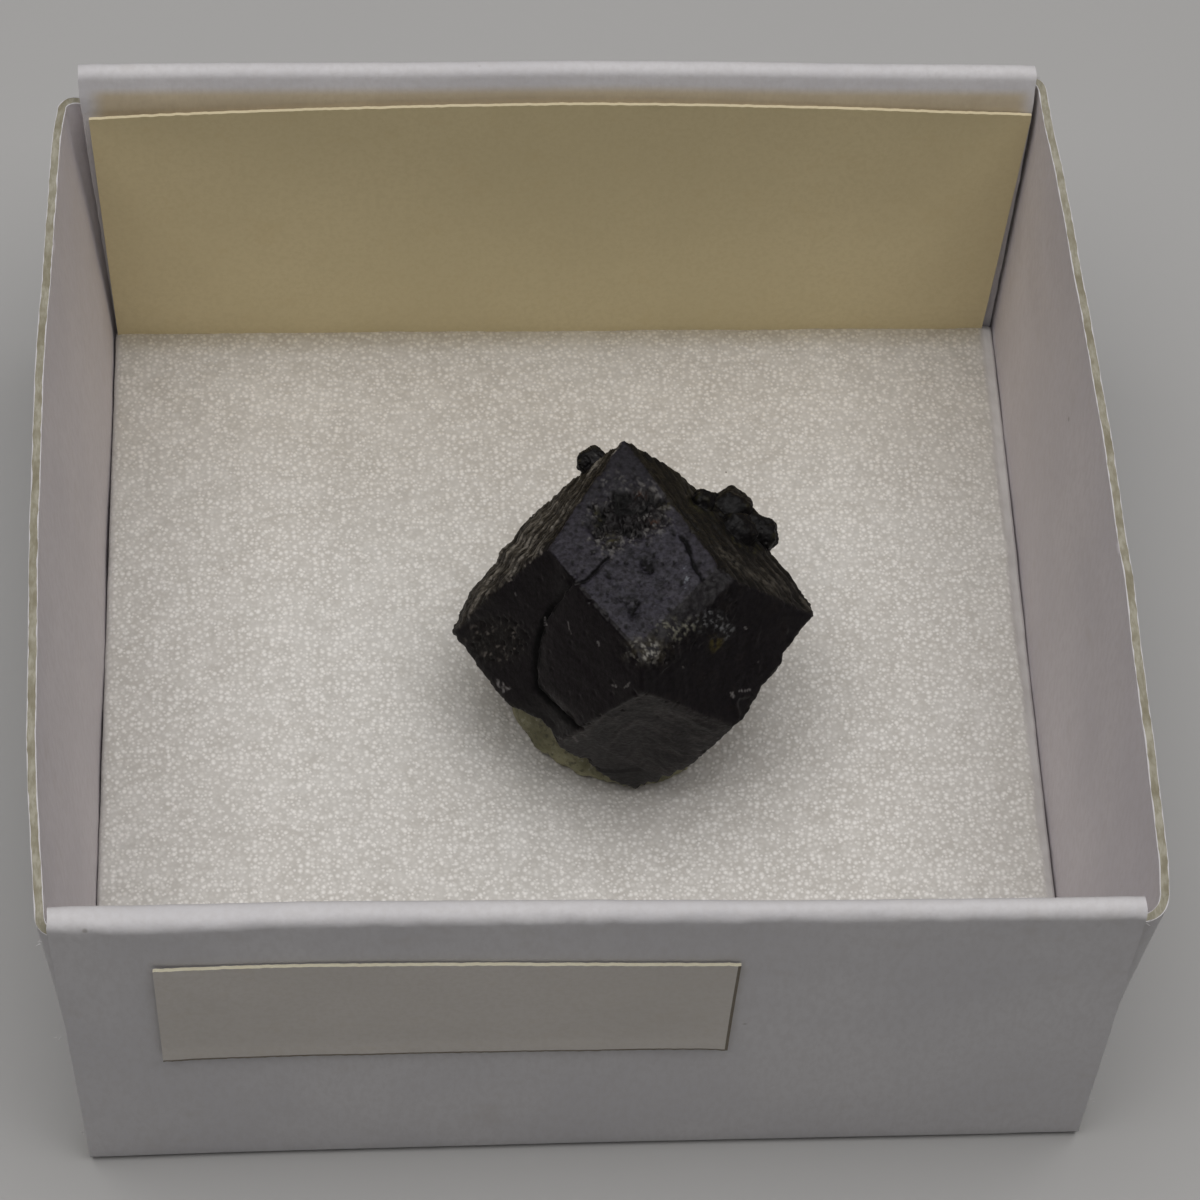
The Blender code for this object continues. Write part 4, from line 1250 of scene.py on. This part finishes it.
def side_wall(sign):
    """A side wall with its two tabs: a strip that runs along the side and turns in behind both folds."""
    th = 0.36
    corner_f = 0.62 if sign < 0 else 0.78
    corner_b = 0.60 if sign < 0 else 0.42
    # along the strip: (kind, value)
    ns, nc, nt = ((150, 12, 8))
    nz = 56
    s_y = np.linspace(-19.05 + corner_f, 19.78 - corner_b, ns)
    edge_n = 6
    rng = 611 if sign < 0 else 612
    top_y = np.array([-20.5, -19.4, -17, 0, 12, 17.5, 18.8, 20.5])
    top_z = np.array([17.40, 17.55, 17.9, 17.95, 17.95, 17.95, 17.75, 17.40]) if sign < 0 else np.array([17.20, 17.35, 17.75, 17.9, 17.95, 18.0, 18.25, 18.5])

    cols = []
    kinds = []
    # front tab, from inside outwards, then corner, side, corner, back tab
    for u in np.linspace(0, 1, nt)[:-1]:
        cols.append(("tab_f", u))
    for u in np.linspace(0, 1, nc)[:-1]:
        cols.append(("cor_f", u))
    for y in s_y:
        cols.append(("side", y))
    for u in np.linspace(0, 1, nc)[1:]:
        cols.append(("cor_b", u))
    for u in np.linspace(0, 1, nt)[1:]:
        cols.append(("tab_b", u))
    nu = len(cols)
    zt = np.linspace(0, 1, nz)
    mid = np.zeros((nu, nz, 3))
    nor = np.zeros((nu, nz, 2))
    for i, (kind, u) in enumerate(cols):
        ref_y = {"tab_f": -20.2, "cor_f": -20.2 + (1.4 * u if kind == "cor_f" else 0), "side": u if kind == "side" else 0,
                 "cor_b": 19.0 + (1.2 * u if kind == "cor_b" else 0), "tab_b": 20.2}[kind]
        zmax = np.interp(ref_y, top_y, top_z)
        zmax += 0.05 * noise(np.array([[ref_y / 3.1, sign * 4.0, 0.3]]), rng)[0] + 0.012 * noise(np.array([[ref_y / 0.35, sign * 4.0, 0.3]]), rng + 1)[0]
        z0 = 0.28 if kind in ("tab_f", "tab_b") else 0.02
        z = z0 + (zmax - z0) * zt
        # the tabs follow the walls they are tucked into, which lean, and the back corners open out downwards
        down = np.clip(1 - z / 18.0, 0, 1)
        y_back = 19.78 - 1.0 * down
        r_back = corner_b + (0.70 if sign < 0 else 0.55) * down ** 0.7
        if kind == "side":
            yy = np.full(nz, u)
            if u > 13:
                yy = 13 + (u - 13) * (y_back - r_back - 13) / (19.78 - corner_b - 13)
            x = side_reach(sign, yy, z) - th / 2
            e = 0.05
            dx = (side_reach(sign, yy + e, z) - side_reach(sign, yy - e, z)) / (2 * e)
            n = np.stack([np.ones(nz), -dx], 1)
            n /= np.linalg.norm(n, axis=1)[:, None]
            pl = np.stack([x, yy], 1)
        else:
            front = kind.endswith("_f")
            r = corner_f if front else r_back
            sg = -1 if front else 1
            ye = (-19.05 - 0.50 * (1 - z / 18.0)) if front else y_back
            yc = ye - sg * r
            xo = side_reach(sign, np.full(nz, -19.05 + r) if front else yc, z) - th / 2
            if kind.startswith("cor"):
                ang = (1 - u if front else u) * math.pi / 2       # 0 at the side, 90 degrees at the tab
                pl = np.stack([xo - r + r * math.cos(ang), yc + sg * r * math.sin(ang)], 1)
                n = np.tile([math.cos(ang), sg * math.sin(ang)], (nz, 1))
            else:
                uu = (1 - u if front else u)                       # 0 at the corner, 1 at the tab's free end
                xi = (xo - r) * (1 - uu) + 12.5 * uu
                hide = -0.25 * smooth(0.0, 0.3, uu) if front else 0.0      # in between the two plies
                pl = np.stack([xi, ye + hide + 0 * xi], 1)
                n = np.tile([0.0, float(sg)], (nz, 1))
        mid[i, :, :2] = pl
        mid[i, :, 2] = z
        nor[i] = n
    # soft waves of a board that has been handled
    q = np.stack([mid[..., 0].ravel() * sign, mid[..., 1].ravel(), mid[..., 2].ravel()], 1)
    wave = (0.07 * fbm(q / 7.0, 2, rng + 2) + 0.018 * fbm(q / 1.6, 2, rng + 3)).reshape(nu, nz)
    calm = np.array([1.0 if k == "side" else 0.0 for k, _ in cols])
    calm = np.convolve(np.pad(calm, 6, mode="edge"), np.ones(13) / 13, "valid")
    wave *= calm[:, None] * smooth(0.0, 3.0, mid[..., 2])
    # bottom crease: the board turns under
    turn = np.clip((0.5 - mid[..., 2]) / 0.5, 0, 1)
    side_in = 0.5 * (1 - np.sqrt(np.clip(1 - turn ** 2, 0, 1)))
    out_pts = mid.copy()
    in_pts = mid.copy()
    for arr, s in ((out_pts, 1), (in_pts, -1)):
        arr[..., 0] += nor[..., 0] * (wave + s * th / 2) - nor[..., 0] * side_in
        arr[..., 1] += nor[..., 1] * (wave + s * th / 2)
    # closed loop across the section for each column: outer up, rim across, inner down, foot across
    rim_t = np.array([0, 0.09, 0.36, 0.64, 0.91, 1.0])
    crown = 0.0 + 0.03 * np.sin(np.pi * rim_t)
    loops = []
    for i in range(nu):
        o, n_ = out_pts[i], in_pts[i]
        # the two white liners are worn thin in places
        rt = rim_t[1:-1].copy()
        at = np.array([[o[-1, 0] / 0.45, o[-1, 1] / 0.45, 0.0], [n_[-1, 0] / 0.45, n_[-1, 1] / 0.45, 7.0]])
        rt[[0, -1]] += np.clip(0.13 * noise(at, rng + 7) * np.array([1, -1]) - 0.01, -0.07, 0.10)
        rt[0], rt[-1] = np.clip(rt[0], 0.03, 0.20), np.clip(rt[-1], 0.80, 0.97)
        rim = o[-1] * (1 - rt[:, None]) + n_[-1] * rt[:, None]
        rim[:, 2] += crown[1:-1] + 0.02 * noise(np.stack([rim[:, 0] / 0.12, rim[:, 1] / 0.12, rim[:, 2] * 0 + i * 0.0], 1), rng + 5)
        loops.append(np.vstack([o, rim, n_[::-1]]))
    L = np.array(loops)
    n = L.shape[1]
    v = L.reshape(-1, 3)
    v[:, 0] *= sign
    f = grid_faces(nu, n, wrap_v=True)
    col = np.arange(len(f)) % n
    mats = np.full(len(f), LINER)
    mats[(col >= nz) & (col < nz + edge_n - 3)] = RAW      # between the two white liners
    # the side walls' inner faces take the paler liner, painted light
    mats[(col >= nz + edge_n - 2) & (col < n - 1)] = LIT_INSIDE
    mats[col == n - 1] = RAW
    cap = []
    i = np.arange(n // 2 - 1)
    cap0 = np.stack([i, i + 1, n - 2 - i, n - 1 - i], 1)
    cap1 = cap0 + (nu - 1) * n
    return v, [(f, mats), (cap0, np.full(len(cap0), RAW)), (cap1[:, ::-1], np.full(len(cap1), RAW))]


def fibre(sh, start, way, length, radius, bend, seed, mat=LINER, sides=5, steps=7):
    """One curled paper fibre: a thin tapered tube."""
    rng = np.random.default_rng(seed)
    way = np.asarray(way, float)
    way /= np.linalg.norm(way)
    a = np.cross(way, [0.31, 0.52, 0.79])
    a /= np.linalg.norm(a)
    b = np.cross(way, a)
    k1, k2 = rng.uniform(-1, 1, 2) * bend
    ts = np.linspace(0, 1, steps)
    cen = np.array([np.asarray(start) + way * length * t + (a * k1 + b * k2) * length * t * t + a * bend * 0.2 * length * math.sin(5 * t)
                    for t in ts])
    V = []
    for i, t in enumerate(ts):
        r = radius * (1 - 0.75 * t)
        for j in range(sides):
            w = 2 * math.pi * j / sides
            V.append(cen[i] + r * (math.cos(w) * a + math.sin(w) * b))
    V.append(cen[0])
    V.append(cen[-1])
    f = grid_faces(steps, sides, wrap_v=True)
    j = np.arange(sides)
    c0 = np.stack([np.full(sides, steps * sides), (j + 1) % sides, j], 1)
    c1 = np.stack([np.full(sides, steps * sides + 1), (steps - 1) * sides + j, (steps - 1) * sides + (j + 1) % sides], 1)
    base = sh.n
    sh.add(V, f, mat)
    sh.f.append(c0 + base)
    sh.m.append(np.full(sides, mat))
    sh.f.append(c1 + base)
    sh.m.append(np.full(sides, mat))


def make_box(mats):
    sh = Shape()
    nx = 148

    def move_front(v):
        x, y, z = v[:, 0], v[:, 1], v[:, 2]
        up = smooth(1.0, 6.0, z)
        out = v.copy()
        s = z / 19.0
        # its ends: out a little at the top on the left, in on the right
        end = np.where(x < 0, 19.68 + 0.24 * s, 20.00 - 0.18 * s)
        out[:, 0] = x / 20.0 * end
        # the roll is fatter towards the left
        fat = 2 * (along(x, [(-20, 0.50), (-18, 0.58), (-15, 0.57), (-10.9, 0.53), (0, 0.48), (8, 0.445), (20, 0.46)]) - FRONT[3])
        out[:, 1] += fat * smooth(0.25, 0.8, (y + FRONT[1]) / (2 * FRONT[3])) * smooth(14, 17, z)
        out[:, 1] -= front_nearer(x, z)
        out[:, 1] += up * (0.03 * fbm(np.stack([x / 9, z / 9, x * 0], 1), 2, 621) + 0.010 * fbm(np.stack([x / 1.4, z / 1.4, y / 2.0], 1), 2, 622))
        roll = smooth(17.9, 18.7, z)
        # the roll's outer edge is rumpled
        rump = fbm(np.stack([x / 0.8, z / 0.9, y / 1.5], 1), 3, 627)
        out[:, 1] -= 0.045 * rump * smooth(17.2, 18.3, z) * smooth(19.3, 19.7, -y)
        out[:, 2] += roll * (0.03 * noise(np.stack([x / 5.0, x * 0, x * 0], 1), 623) + 0.02 * noise(np.stack([x / 0.9, y / 0.6, x * 0], 1), 624)
                             - 0.05 * smooth(19.3, 19.95, np.abs(x)))
        e = smooth(19.4, 20.0, np.abs(x))
        out[:, 0] += np.sign(x) * e * 0.05 * noise(np.stack([z / 1.1, y / 0.5, x * 0 + np.sign(x)], 1), 625)
        return out

    def move_back(v):
        x, y, z = v[:, 0], v[:, 1], v[:, 2]
        up = smooth(1.0, 6.0, z)
        out = v.copy()
        end = np.where(x < 0, 19.30 + 0.0415 * z, 19.58 + 0.0080 * z)
        out[:, 0] = x / 20.0 * end
        s = np.clip(z / 18.7, 0, 1)
        out[:, 1] += along(x, BACK_HEAD) * s
        out[:, 1] += up * (0.03 * fbm(np.stack([x / 9, z / 9, x * 0], 1), 2, 631) + 0.010 * fbm(np.stack([x / 1.4, z / 1.4, y / 2.0], 1), 2, 632))
        roll = smooth(17.9, 18.7, z)
        out[:, 2] += roll * (0.03 * noise(np.stack([x / 6.0, x * 0, x * 0], 1), 633) + 0.02 * noise(np.stack([x / 0.9, y / 0.6, x * 0], 1), 634)
                             - 0.05 * smooth(19.3, 19.95, np.abs(x)))
        e = smooth(19.4, 20.0, np.abs(x))
        out[:, 0] += np.sign(x) * e * 0.04 * noise(np.stack([z / 1.1, y / 0.5, x * 0 + np.sign(x)], 1), 635)
        return out

    inner_f = [(19.05, 18.75), (19.00, 17.0), (18.98, 0.75)]
    inner_b = [(19.767, 18.846), (19.70, 18.68), (19.60, 18.43), (19.43, 17.98), (19.28, 17.4), (19.05, 15.5), (18.78, 11), (18.50, 6.5), (18.32, 3.5), (18.16, 0.75)]
    v, parts = ribbon(fold_path(-1, *FRONT, inner_f), nx, -20.0, 20.0, PLY, move_front)
    add_parts(sh, v, parts)
    v, parts = ribbon(fold_path(1, *BACKW, inner_b, 22), nx, -20.0, 20.0, PLY, move_back)
    add_parts(sh, v, parts)
    for sign in (-1, 1):
        v, parts = side_wall(sign)
        add_parts(sh, v, parts, flip=sign < 0)
    # the base
    n = 44
    g = np.linspace(-1, 1, n)
    gx, gy = np.meshgrid(g * 19.58, g * 19.50, indexing="ij")
    gx, gy = gx.ravel(), gy.ravel()
    # its back corners are cut back behind the folded wall
    gx = gx * (1 - 0.03 * smooth(17.6, 19.0, gy))
    p = np.stack([gx, gy, gx * 0], 1)
    sag = 0.04 * fbm(p / 9.0, 2, 641)
    sag = np.abs(sag) * smooth(1.0, 0.85, np.maximum(np.abs(gx) / 19.58, np.abs(gy) / 19.50))
    low = np.stack([gx, gy, 0.02 + sag], 1)
    high = np.stack([gx, gy, 0.60 + sag], 1)
    ring = np.concatenate([np.arange(n) * n, (n - 1) * n + np.arange(1, n), (np.arange(n - 2, -1, -1)) * n + n - 1, np.arange(n - 2, 0, -1)])
    base = sh.n
    sh.add(np.vstack([low, high]), np.vstack([grid_faces(n, n, flip=True), grid_faces(n, n) + n * n]), LINER)
    i = np.arange(len(ring))
    j = (i + 1) % len(ring)
    rimf = np.stack([ring[i], ring[j], ring[j] + n * n, ring[i] + n * n], 1) + base
    sh.f.append(rimf)
    sh.m.append(np.full(len(rimf), RAW))
    # paper fibres where the corners are worn
    tufts = [((41.5, 939), 1, -19.75, (-0.5, -0.5, 0.3), 4, 0.24), ((106, 302), 1, 18.2, (0.4, -0.9, 0.2), 5, 0.30),
             ((1150, 922), 1, -19.5, (0.6, -0.4, 0.2), 3, 0.20), ((1036, 78), 1, 20.0, (0.5, -0.2, 0.6), 3, 0.20),
             ((84, 1132), 1, -20.0, (-0.8, -0.4, -0.1), 3, 0.16), ((60, 1036), 1, -19.95, (-0.8, -0.4, -0.1), 3, 0.16),
             ((1091, 1098), 1, -19.95, (0.8, -0.4, 0.0), 3, 0.14), ((1104, 1052), 1, -19.95, (0.8, -0.4, 0.0), 2, 0.14)]
    for t, (px, ax, val, way, count, size) in enumerate(tufts):
        p0 = lay(px[0], px[1], ax, val)
        rng = np.random.default_rng(700 + t)
        for i in range(count):
            off = rng.normal(0, 0.06, 3)
            w = np.array(way) + rng.normal(0, 0.4, 3)
            fibre(sh, p0 + off, w, size * rng.uniform(0.5, 1.1), 0.014 * rng.uniform(0.7, 1.4), 0.35, 710 + 20 * t + i)
    ob = sh.make("card_box", mats)
    outward(ob)
    ob.data.set_sharp_from_angle(angle=math.radians(50))
    return ob


def add_parts(sh, v, parts, flip=False):
    base = sh.n
    first = True
    for f, mt in parts:
        f = f[:, ::-1] if flip else f
        if first:
            sh.add(v, f, mt)
            first = False
        else:
            sh.f.append(f + base)
            sh.m.append(mt)


def card_material(name, colour, seed_shift=0.0):
    m = Mat(name)
    co = m.stretch(1, 1, 1, rot=(seed_shift, seed_shift * 0.7, 0))
    fibres = m.noise(3600, 2.5, 0.65, vec=m.stretch(1.0, 1.0, 0.45, vec=co))
    cloud = m.noise(160, 2, 0.55, vec=co)
    c = np.array(colour)
    col = m.mix(m.band(cloud, 0.3, 0.7), tuple(c), tuple(c * np.array([0.93, 0.93, 0.94])))
    col = m.mix(m.band(fibres, 0.36, 0.68, 0.0, 0.5), col, tuple(c * np.array([0.89, 0.88, 0.87])))
    col = m.mix(m.band(m.noise(420, 2, 0.7, vec=co), 0.60, 0.80, 0.0, 0.35), col, tuple(c * np.array([0.83, 0.80, 0.76])))
    # grubby marks: a few small dark specks
    far, who = m.cells(330, vec=co)
    speck = m.calc("MULTIPLY", m.band(far, 0.050, 0.018), m.band(m.axis(0, who), 0.76, 0.84))
    col = m.mix(m.calc("MULTIPLY", speck, 0.45), col, (0.16, 0.13, 0.10))
    # a strip inside the back wall, under its fold, painted darker and yellower
    y, z = m.axis(1), m.axis(2)
    strip = m.calc("MULTIPLY", m.band(y, 0.0184, 0.0188), m.band(y, 0.0200, 0.0197))
    strip = m.calc("MULTIPLY", strip, m.calc("MULTIPLY", m.band(z, 0.0160, 0.0170), m.band(z, 0.01862, 0.01812)))
    strip = m.calc("MULTIPLY", strip, m.band(m.calc("ABSOLUTE", m.axis(0)), 0.0199, 0.0189))
    col = m.mix(strip, col, m.mix(1.0, col, (0.92, 0.80, 0.56), "MULTIPLY"))
    m.set(Base_Color=col, Roughness=m.band(fibres, 0.3, 0.7, 0.58, 0.74), IOR=1.42)
    m.set(Normal=m.bump(fibres, 0.032, 0.6))
    return m


def raw_board_material():
    m = Mat("raw_board_edge")
    fibres = m.noise(5200, 2.5, 0.7, vec=m.stretch(1.0, 0.35, 1.0))
    long = m.noise(900, 2, 0.6)
    col = m.mix(m.band(fibres, 0.35, 0.68), (0.305, 0.283, 0.215), (0.420, 0.396, 0.322))
    col = m.mix(m.band(long, 0.42, 0.66, 0.0, 0.6), col, (0.205, 0.178, 0.115))
    m.set(Base_Color=col, Roughness=0.85, IOR=1.4)
    m.set(Normal=m.bump(fibres, 0.08, 0.8))
    return m.mat


# --------------------------------------------------------------------------------------------
# The label card inside and the sticker outside
# --------------------------------------------------------------------------------------------
def sheet_solid(pts, thick, name, mats, out, rim_rows=2):
    """pts is (nu, nv, 3): the front face of a thin sheet; out is the way its front faces."""
    nu, nv = pts.shape[:2]
    out = np.asarray(out, float)
    out /= np.linalg.norm(out)
    back = pts - out * thick
    sh = Shape()
    sh.add(np.vstack([pts.reshape(-1, 3), back.reshape(-1, 3)]),
           np.vstack([grid_faces(nu, nv), grid_faces(nu, nv, flip=True) + nu * nv]), 0)
    ring = np.concatenate([np.arange(nu) * nv, (nu - 1) * nv + np.arange(1, nv), (np.arange(nu - 2, -1, -1)) * nv + nv - 1,
                           np.arange(nv - 2, 0, -1)])
    i = np.arange(len(ring))
    j = (i + 1) % len(ring)
    rim = np.stack([ring[i], ring[j], ring[j] + nu * nv, ring[i] + nu * nv], 1)
    sh.f.append(rim)
    sh.m.append(np.full(len(rim), 1))
    ob = sh.make(name, mats)
    outward(ob)
    ob.data.set_sharp_from_angle(angle=math.radians(40))
    return ob


def make_label(mats):
    nu, nv = ((230, 84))
    u = np.linspace(0, 1, nu)
    w = np.linspace(0, 1, nv)
    gu, gw = np.meshgrid(u, w, indexing="ij")
    foot_l, foot_r = lay(118.0, 334.5, 2, 3.93), lay(981.5, 328.5, 2, 3.93)
    head_l, head_r = lay(88.8, 119.8, 1, 18.75), lay(1031.7, 116.0, 1, 18.68)
    p = (foot_l * (1 - gu[..., None]) + foot_r * gu[..., None]) * (1 - gw[..., None]) + \
        (head_l * (1 - gu[..., None]) + head_r * gu[..., None]) * gw[..., None]
    # the middle of the top edge leans back a little more, and the card is faintly wavy
    p[..., 1] += 0.22 * np.sin(np.pi * gu) * gw ** 1.5 - 0.05 * np.sin(np.pi * gw) * np.cos(2 * np.pi * gu)
    p[..., 2] += 0.55 * np.sin(np.pi * gu) * gw - 0.14 * (1 - gw)
    q = np.stack([gu.ravel() * 39, gw.ravel() * 14, gu.ravel() * 0], 1)
    p[..., 1] += (0.04 * fbm(q / 8.0, 2, 801) + 0.006 * fbm(q / 1.0, 2, 802)).reshape(nu, nv)
    rag = (0.045 * fbm(np.stack([gu.ravel() * 39 / 0.35, gu.ravel() * 0, gu.ravel() * 0], 1), 2, 803)).reshape(nu, nv)
    p[..., 2] += rag * smooth(0.985, 1.0, gw)
    return sheet_solid(p, 0.14, "label_card", mats, (0.0, -1.0, 0.05))


def make_sticker(mats):
    nu, nv = ((190, 66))
    def wall(x, z):
        """The face of the front wall."""
        return -(FRONT[0] + (FRONT[1] - FRONT[0]) * np.clip((z - 0.6) / 17.8, 0, 1)) - front_nearer(x, z)

    corners = {}
    for key, px in (("tl", (152.5, 971.5)), ("tr", (741.5, 966.3)), ("bl", (163.3, 1060.0)), ("br", (727.3, 1048.3))):
        y = -20.2
        for _ in range(4):
            at = lay(px[0], px[1], 1, y)
            y = float(wall(at[0], at[2])) - 0.20
        corners[key] = at
    u = np.linspace(0, 1, nu)
    w = np.linspace(0, 1, nv)
    gu, gw = np.meshgrid(u, w, indexing="ij")
    a = corners["bl"] * (1 - gu[..., None]) + corners["br"] * gu[..., None]
    b = corners["tl"] * (1 - gu[..., None]) + corners["tr"] * gu[..., None]
    p = a * (1 - gw[..., None]) + b * gw[..., None]
    # it follows the wall, which leans out, and lifts a little at its lower edge and corners
    lift = 0.05 + 0.05 * smooth(0.16, 0.0, gw) + 0.05 * smooth(0.06, 0.0, gu) + 0.06 * smooth(0.94, 1.0, gu) * smooth(0.6, 0.0, gw)
    p[..., 1] = wall(p[..., 0].ravel(), p[..., 2].ravel()).reshape(nu, nv) - 0.13 - lift
    q = np.stack([gu.ravel() * 21, gw.ravel() * 7, gu.ravel() * 0], 1)
    p[..., 1] += (0.02 * fbm(q / 3.0, 2, 811)).reshape(nu, nv)
    rag = fbm(np.stack([gu.ravel() * 21 / 0.3, gu.ravel() * 0, gu.ravel() * 0], 1), 2, 812).reshape(nu, nv)
    p[..., 2] += 0.05 * rag * (smooth(0.97, 1.0, gw) + smooth(0.03, 0.0, gw))
    ob = sheet_solid(p, 0.13, "number_label", mats, (0.0, -1.0, 0.0))
    # painted shadow: its lower and right-hand edges are painted dark, a shadow line where they lift a little from the
    # wall
    which = np.zeros(len(ob.data.polygons), np.int32)
    ob.data.polygons.foreach_get("material_index", which)
    cell = np.arange((nu - 1) * (nv - 1))
    which[cell[(cell % (nv - 1) == 0) | (cell // (nv - 1) == nu - 2)]] = 2
    ob.data.polygons.foreach_set("material_index", which)
    return ob


def paper_material(name, colour, marks=()):
    m = Mat(name)
    fibres = m.noise(4200, 2.5, 0.65)
    cloud = m.noise(120, 2, 0.5)
    mottled = m.noise(900, 2, 0.6)
    c = np.array(colour)
    col = m.mix(m.band(cloud, 0.3, 0.7), tuple(c), tuple(c * np.array([0.95, 0.95, 0.94])))
    col = m.mix(m.band(fibres, 0.38, 0.66, 0.0, 0.45), col, tuple(c * np.array([0.90, 0.89, 0.86])))
    col = m.mix(m.band(mottled, 0.55, 0.75, 0.0, 0.25), col, tuple(c * np.array([0.92, 0.88, 0.80])))
    for at, rad, dark in marks:
        col = m.mix(m.near(at, rad, 0.5), col, dark)
    m.set(Base_Color=col, Roughness=m.band(fibres, 0.3, 0.7, 0.60, 0.76), IOR=1.42)
    m.set(Normal=m.bump(fibres, 0.02, 0.5))
    return m.mat


# --------------------------------------------------------------------------------------------
# Build
# --------------------------------------------------------------------------------------------
liner = card_material("card_liner", (0.678, 0.662, 0.676)).mat
# painted light: the side walls' inner faces use the same board painted paler, for the light that reaches them from the
# sides
inside = card_material("card_liner_inside_painted_lighter", (0.745, 0.698, 0.728), 0.4).mat
raw = raw_board_material()
paper = paper_material("label_paper", (0.71, 0.605, 0.36), [(tuple(lay(218, 131, 1, 17.9)), 0.12, (0.08, 0.06, 0.04)),
                                                           (tuple(lay(690, 320, 1, 17.4)), 0.10, (0.06, 0.05, 0.04))])
paper_cut = paper_material("label_paper_cut", (0.64, 0.56, 0.38))
stick = paper_material("sticker_paper", (0.66, 0.62, 0.58))
stick_cut = paper_material("sticker_paper_cut", (0.74, 0.70, 0.54))
# painted shadow: dark paper for the sticker's lower and right-hand edges
stick_edge_shadow = paper_material("sticker_paper_edge_shadow", (0.20, 0.17, 0.13))

box = make_box([liner, raw, inside])
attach(box, "root")
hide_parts("card_box")

foam = make_foam(foam_material())
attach(foam, "root")
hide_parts("foam_pad")

label = make_label([paper, paper_cut])
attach(label, "root")
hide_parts("label_card")

sticker = make_sticker([stick, stick_cut, stick_edge_shadow])
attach(sticker, "root")
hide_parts("number_label")

garnet = make_garnet(garnet_material())
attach(garnet, "root")
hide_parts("garnet")

rock = make_rock(rock_material())
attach(rock, "root")
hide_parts("matrix")

# --------------------------------------------------------------------------------------------
# Floor and light
# --------------------------------------------------------------------------------------------
fm = Mat("floor")
cloud = fm.noise(14, 4, 0.5)
fm.set(Base_Color=fm.mix(cloud, (0.455, 0.452, 0.448), (0.485, 0.480, 0.475)), Roughness=0.8)
fsh = Shape()
nf = 24
t = np.linspace(-600, 600, nf)
gx, gy = np.meshgrid(t, t, indexing="ij")
fsh.add(np.stack([gx.ravel(), gy.ravel(), np.full(nf * nf, -0.02)], 1), grid_faces(nf, nf))
floor = fsh.make("floor", [fm.mat])


def area(name, at, aim, size, watts, colour=(1, 1, 1), spread=180.0):
    l = bpy.data.lights.new(name, "AREA")
    l.shape = "RECTANGLE"
    l.size, l.size_y = size[0] * MM, size[1] * MM
    l.energy = watts
    l.color = colour
    l.spread = math.radians(spread)
    o = bpy.data.objects.new(name, l)
    bpy.context.scene.collection.objects.link(o)
    o.location = Vector(at) * MM
    o.rotation_euler = (Vector(aim) - Vector(at)).to_track_quat("-Z", "Y").to_euler()
    return o


area("softbox", (0, -15, 330), (0, -5, 5), (430, 300), 1.12, (1.0, 0.988, 0.975))
world = bpy.data.worlds.new("world")
world.use_nodes = True
world.node_tree.nodes["Background"].inputs[0].default_value = (0.9, 0.95, 1.0, 1)
world.node_tree.nodes["Background"].inputs[1].default_value = 0.015
bpy.context.scene.world = world
bpy.context.scene.view_settings.view_transform = "Standard"
bpy.context.scene.view_settings.look = "None"
